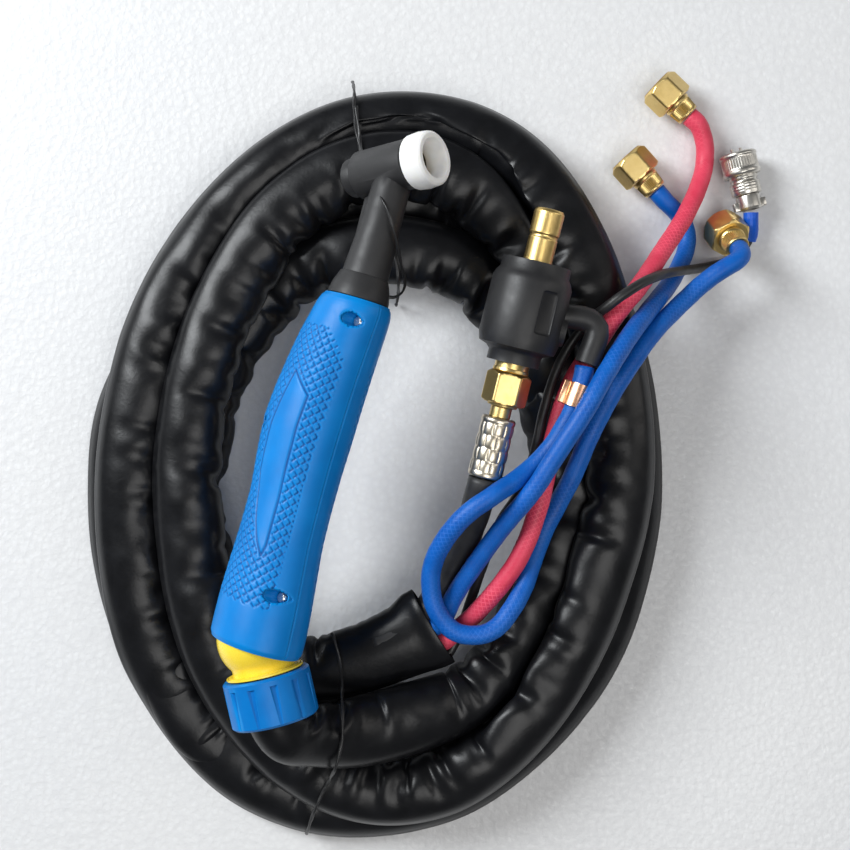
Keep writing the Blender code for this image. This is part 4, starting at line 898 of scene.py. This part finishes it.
def throw_folds(P, c, s, ang, free, seed, gap, high, width, side_bias, reach):
    """Long folds thrown across the film, at seeded places and slants."""
    out = P - c[:, None, :]
    out /= np.linalg.norm(out, axis=-1)[..., None]
    rng = np.random.default_rng(seed)
    n, total = len(s), s[-1]
    at = 40.0
    P = P.copy()
    while at < total - 45:
        at += rng.uniform(*gap)
        a0 = rng.normal(side_bias, 1.0)
        psi = rng.uniform(-0.95, 0.95)
        wd, lg = rng.uniform(*width), rng.uniform(*reach)
        h = high * rng.uniform(0.55, 1.1) * (1 if rng.random() < 0.6 else -0.85)
        i0, i1 = int(max(0, (at - 36) / total * (n - 1))), int(min(n - 1, (at + 36) / total * (n - 1)))
        ds_ = (s[i0:i1] - at)[:, None]
        da = ((ang - a0 + math.pi) % (2 * math.pi) - math.pi)[None, :] * 11.5
        u_ = ds_ * math.cos(psi) + da * math.sin(psi) + 2.2 * np.sin(da * 0.21 + at)
        v_ = -ds_ * math.sin(psi) + da * math.cos(psi)
        fold = h * np.exp(-np.abs(u_ / wd) ** 1.6) * np.exp(-(v_ / lg) ** 2) * free[i0:i1, None]
        outer = np.clip(0.35 + 0.65 * (np.cos(ang)[None, :] + 0.9), 0.12, 1.0)
        P[i0:i1] += out[i0:i1] * (fold * outer)[..., None]
    return P


def wind_sleeve():
    route = catmull([(x, y, z, w) for x, y, z, w in SLEEVE], 10)
    line, total = even(route, 2.5)
    n, m = len(line), 44
    c = line[:, :3]
    hw = line[:, 3]
    t, side, up = frames(line)                       # side points into the coil
    s = np.linspace(0, total, n)
    ang = np.linspace(0, 2 * math.pi, m, endpoint=False)
    ca, sa = np.cos(ang)[None, :], np.sin(ang)[None, :]
    lead = 1 - smooth_step(s, 4, 60)                 # 1 at the nut, where the tube is still round
    mouth = smooth_step(s, total - 60, total - 8)    # 1 at the open end, where it lies flat
    ht = 8.4 + lead * (hw - 8.4) - 0.6 * mouth
    inner = np.maximum(ca, 0.0)
    # slow, uneven drift of everything that depends on the place along the tube
    drift = np.array([[noise.noise(Vector((x * 0.021, k * 7.3, 1.7))) for x in s] for k in range(6)])
    fast = np.array([[noise.noise(Vector((x * 0.062, 3.1 + k * 5.9, 8.2))) for x in s] for k in range(6)])
    free = (1 - lead) * (1 - smooth_step(s, total - 110, total - 50))
    phase = 2 * math.pi * (s / 18.5 + 1.1 * drift[0] + 0.35 * fast[0])
    phase2 = 2 * math.pi * (s / 31.0 + 0.9 * drift[1] + 0.3 * fast[1])
    x = hw[:, None] * np.sign(ca) * np.abs(ca) ** 0.92
    y = ht[:, None] * np.sign(sa) * np.abs(sa) ** (1.15 - 0.25 * lead[:, None])
    ruf = free[:, None] * inner ** 1.2
    amp = (1.8 + 1.7 * drift[2])[:, None]
    x = x + ruf * amp * np.sin(phase[:, None] + 1.1 * ang[None, :])
    y = y + ruf * amp * 1.1 * np.cos(phase[:, None] * 1.0 + 0.8 * ang[None, :] + 0.6)
    big = free[:, None] * np.clip(ca + 0.55, 0, 1.2)
    y = y + big * (0.9 + 0.9 * drift[3])[:, None] * np.sin(phase2[:, None] + 1.7 * ca)
    P = c[:, None, :] + side[:, None, :] * x[..., None] + up[:, None, :] * y[..., None]
    P = throw_folds(P, c, s, ang, free, 41, (17.0, 31.0), 5.2, (6.0, 11.0), 0.2, (18.0, 36.0))
    # rest lengths of the straight tube: its outer side is just taut, its inner side has too much
    ds = total / (n - 1)
    L = ds * 1.095
    R = 74.6 / m
    Lv = np.full((n - 1, 1), L)
    Lv = Lv * (1 - 0.06 * np.maximum(lead, mouth)[:-1, None])
    Rv = np.full((n, 1), R)
    diag = np.sqrt(Lv ** 2 + R * R)
    # what it lies against: the hoses inside it, the other turns, the ground
    tree = KDTree(n)
    for i in range(n):
        tree.insert(c[i], i)
    tree.balance()
    near = -np.ones((n, 4), int)
    for i in range(n):
        groups = {}
        for co, j, d in tree.find_range(c[i], 37.0):
            if abs(j - i) * ds > 70:
                key = None
                for g in groups:
                    if abs(groups[g][1] - j) < 24:
                        key = g
                        break
                if key is None:
                    groups[len(groups)] = (d, j)
                elif d < groups[key][0]:
                    groups[key] = (d, j)
        for k, (d, j) in enumerate(sorted(groups.values())[:4]):
            near[i, k] = j
    core_x = 9.6 + lead * 2.0
    core_y = 6.6 + lead * 4.6
    rounds = 150
    f32 = np.float32
    P = P.astype(np.float64)

    def pull(a, b, rest, k):
        d = b - a
        ln = np.sqrt((d * d).sum(-1)) + 1e-9
        w = (0.5 * k * (ln - rest) / ln)[..., None] * d
        return w

    first = P[:2].copy()
    last = P[-2:].copy()
    for it in range(rounds):
        for par in (0, 1):
            w = pull(P[par:-1:2], P[par + 1::2], Lv[par::2], 0.9)
            P[par:-1:2] += w
            P[par + 1::2] -= w
        for par in (0, 1):
            A, B = P[:, par::2], np.roll(P, -1, axis=1)[:, par::2]
            w = pull(A, B, Rv, 0.8)
            P[:, par::2] += w
            Q = np.roll(P, -1, axis=1)
            Q[:, par::2] -= w
            P = np.roll(Q, 1, axis=1)
        for par in (0, 1):
            Q = np.roll(P, -1, axis=1)
            w = pull(P[par:-1:2], Q[par + 1::2], diag[par::2], 0.30)
            P[par:-1:2] += w
            Q = np.roll(P, -1, axis=1)
            Q[par + 1::2] -= w
            P = np.roll(Q, 1, axis=1)
            Q = np.roll(P, 1, axis=1)
            w = pull(P[par:-1:2], Q[par + 1::2], diag[par::2], 0.30)
            P[par:-1:2] += w
            Q = np.roll(P, 1, axis=1)
            Q[par + 1::2] -= w
            P = np.roll(Q, -1, axis=1)
        # stiffness of the film: no fold sharper than a few millimetres
        k = 0.09 if it < rounds * 0.75 else 0.14
        avg = P.copy()
        avg[1:-1] = (P[:-2] + P[2:]) * 0.5
        P = P + k * (avg - P)
        P = P + k * 0.7 * ((np.roll(P, 1, axis=1) + np.roll(P, -1, axis=1)) * 0.5 - P)
        # a little air in it, and its own weight
        du = np.zeros_like(P)
        du[1:-1] = P[2:] - P[:-2]
        dv = np.roll(P, -1, axis=1) - np.roll(P, 1, axis=1)
        nrm = np.cross(du, dv)
        nrm /= (np.linalg.norm(nrm, axis=-1) + 1e-9)[..., None]
        sgn = np.sign(((P - c[:, None, :]) * nrm).sum(-1).mean())
        P = P + nrm * sgn * 0.024
        P[..., 2] -= 0.02
        # the hoses and the cable inside
        rel = P - c[:, None, :]
        lx, ly = (rel * side[:, None, :]).sum(-1), (rel * up[:, None, :]).sum(-1)
        q = np.sqrt((lx / core_x[:, None]) ** 2 + (ly / core_y[:, None]) ** 2) + 1e-6
        push = np.where(q < 1, (1 / q - 1), 0.0)
        P = P + side[:, None, :] * (lx * push)[..., None] + up[:, None, :] * (ly * push)[..., None]
        # not further off than the film can reach
        lim_x, lim_y = hw[:, None] + 4.2, ht[:, None] + 3.6
        P = P - side[:, None, :] * (np.sign(lx) * np.maximum(np.abs(lx) - lim_x, 0))[..., None]
        P = P - up[:, None, :] * (np.sign(ly) * np.maximum(np.abs(ly) - lim_y, 0))[..., None]
        # the other turns
        for g in range(4):
            j = near[:, g]
            ok = j >= 0
            jj = np.where(ok, j, 0)
            rel = P - c[jj][:, None, :]
            lx = (rel * side[jj][:, None, :]).sum(-1)
            ly = (rel * up[jj][:, None, :]).sum(-1)
            a_, b_ = (hw[jj] * 0.90)[:, None], (ht[jj] * 0.94)[:, None]
            q = np.sqrt((lx / a_) ** 2 + (ly / b_) ** 2) + 1e-6
            push = np.where((q < 1) & ok[:, None], np.minimum(1 / q - 1, 0.35) * 0.5, 0.0)
            P = P + side[jj][:, None, :] * (lx * push * 0.6)[..., None] + up[jj][:, None, :] * (ly * push)[..., None]
        P[..., 2] = np.maximum(P[..., 2], 0.5)
        top = 46.5 + 60 * smooth_step(140 - s, 0, 80)
        P[..., 2] = np.minimum(P[..., 2], top[:, None])
        P[:2] = first
        P[-2:] = last
    tight = free * (0.45 + 0.55 * np.clip(np.abs(drift[4]) * 3.0, 0, 1))
    P = throw_folds(P, c, s, ang, tight, 97, (24.0, 46.0), 1.7, (3.4, 6.4), 0.35, (14.0, 30.0))
    P = P + 0.22 * ((np.roll(P, 1, axis=1) + np.roll(P, -1, axis=1)) * 0.5 - P)
    P[..., 2] = np.minimum(P[..., 2], top[:, None] + 0.8)
    # the factory crease along the outer edge, and a fainter one inside
    rel = P - c[:, None, :]
    for centre, height, width in ((m // 2, 1.25, 0.75), (0, 0.5, 0.9)):
        k = np.arange(m)
        gap = np.minimum(np.abs(k - centre), m - np.abs(k - centre))
        w = height * np.exp(-(gap / width) ** 2)
        direction = -1.0 if centre else 1.0
        P = P + side[:, None, :] * (direction * w[None, :] * (1 - lead)[:, None])[..., None]
    P[..., 2] = np.maximum(P[..., 2], 0.4)
    return P, line, s, total


P, sleeve_line, sleeve_s, sleeve_total = wind_sleeve()
n_s, m_s = P.shape[:2]
# the open end turns over a thin lip and runs back inside
c_end = sleeve_line[-1, :3]
t_end = (sleeve_line[-1, :3] - sleeve_line[-3, :3])
t_end /= np.linalg.norm(t_end)
rings = [P[i] for i in range(n_s)]
for k, (back, inset) in enumerate(((-0.25, 0.25), (0.0, 0.6), (3.0, 0.75), (9.0, 0.9), (18.0, 1.1), (28.0, 1.6))):
    i = n_s - 1 - int(max(0, back) / 2.5)
    base = P[i]
    mid = base.mean(0)
    d = base - mid
    rings.append(mid + d * (1 - inset / np.linalg.norm(d, axis=1).clip(1)[:, None]) - t_end * min(back, 0.0))
rings = np.array(rings)
total_rings = len(rings)
faces, uvs = [], []
idx = np.arange(total_rings * m_s).reshape(total_rings, m_s)
nx_ = np.roll(idx, -1, axis=1)
quad = np.stack([idx[:-1], nx_[:-1], nx_[1:], idx[1:]], -1).reshape(-1, 4)
faces = quad.tolist()
faces.append(list(range(m_s - 1, -1, -1)))
faces.append([(total_rings - 1) * m_s + k for k in range(m_s)])
me = grid_mesh("sleeve", (rings.reshape(-1, 3) * MM).tolist(), faces)
sleeve = show("sleeve", me, FILM)
sub = sleeve.modifiers.new("round", "SUBSURF")
sub.levels = 1
sub.render_levels = 1
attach(sleeve, "cable_set")
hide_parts("sleeve_coil", "sleeve_mouth", "sleeve_lead")

# ---------------------------------------------------------------- twist ties
from mathutils.bvhtree import BVHTree
dg = bpy.context.evaluated_depsgraph_get()
film_tree = BVHTree.FromObject(sleeve, dg)


def lie_on(points, lift, floor_z=1.0):
    """Line over the sleeve: every point is set on what is under it."""
    line, _ = even(catmull(points, 8), 1.2)
    z = []
    for q in line:
        hit = film_tree.ray_cast(Vector((q[0] * MM, q[1] * MM, 0.0950)), Vector((0, 0, -1)))
        z.append(max(hit[0].z / MM if hit[0] is not None else 0.0, floor_z))
    z = np.array(z)
    span = 6
    high = np.array([z[max(0, i - span):i + span + 1].max() for i in range(len(z))])
    z = np.convolve(np.pad(high, 5, mode="edge"), np.ones(11) / 11, "valid")
    line = line.copy()
    line[:, 2] = z + lift
    return line


def twist(name, line, radius, body, stands):
    ob = sweep(name, line, radius, TIE, around=12,
               surface=lambda s, a: 0.16 * np.cos(2 * (a + s * 0.22)) + 0.05 * np.sin(s * 1.7 + a))
    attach(ob, body)
    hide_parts(*stands)
    return ob


TIE = sheath_material("twist_tie", 0.011, (0.32, 0.46))
for nm, pts, stands in (("twist_top", TOP_TIE, "coil_tie_top"), ("twist_bottom", BOTTOM_TIE, "coil_tie_bottom")):
    inner_pts = [p for p in pts[2:-2]]
    mid = lie_on(inner_pts, 0.95)
    zt = mid[-1, 2]
    head = np.array([[pts[0][0], pts[0][1], 8.0], [pts[1][0], pts[1][1], mid[0, 2] - 9]])
    tail_ = np.array([[pts[-2][0], pts[-2][1], max(zt - 9, 12)], [pts[-1][0], pts[-1][1], max(zt - 24, 3)]])
    whole = catmull(np.vstack([head, mid[::4], tail_]).tolist(), 5)
    whole, _ = even(whole, 1.2)
    twist(nm, whole, 0.68, "cable_set", [stands])
neck_line, _ = even(catmull(NECK_TIE, 10), 1.1)
twist("twist_neck", neck_line, 0.62, "torch", ["neck_tie"])
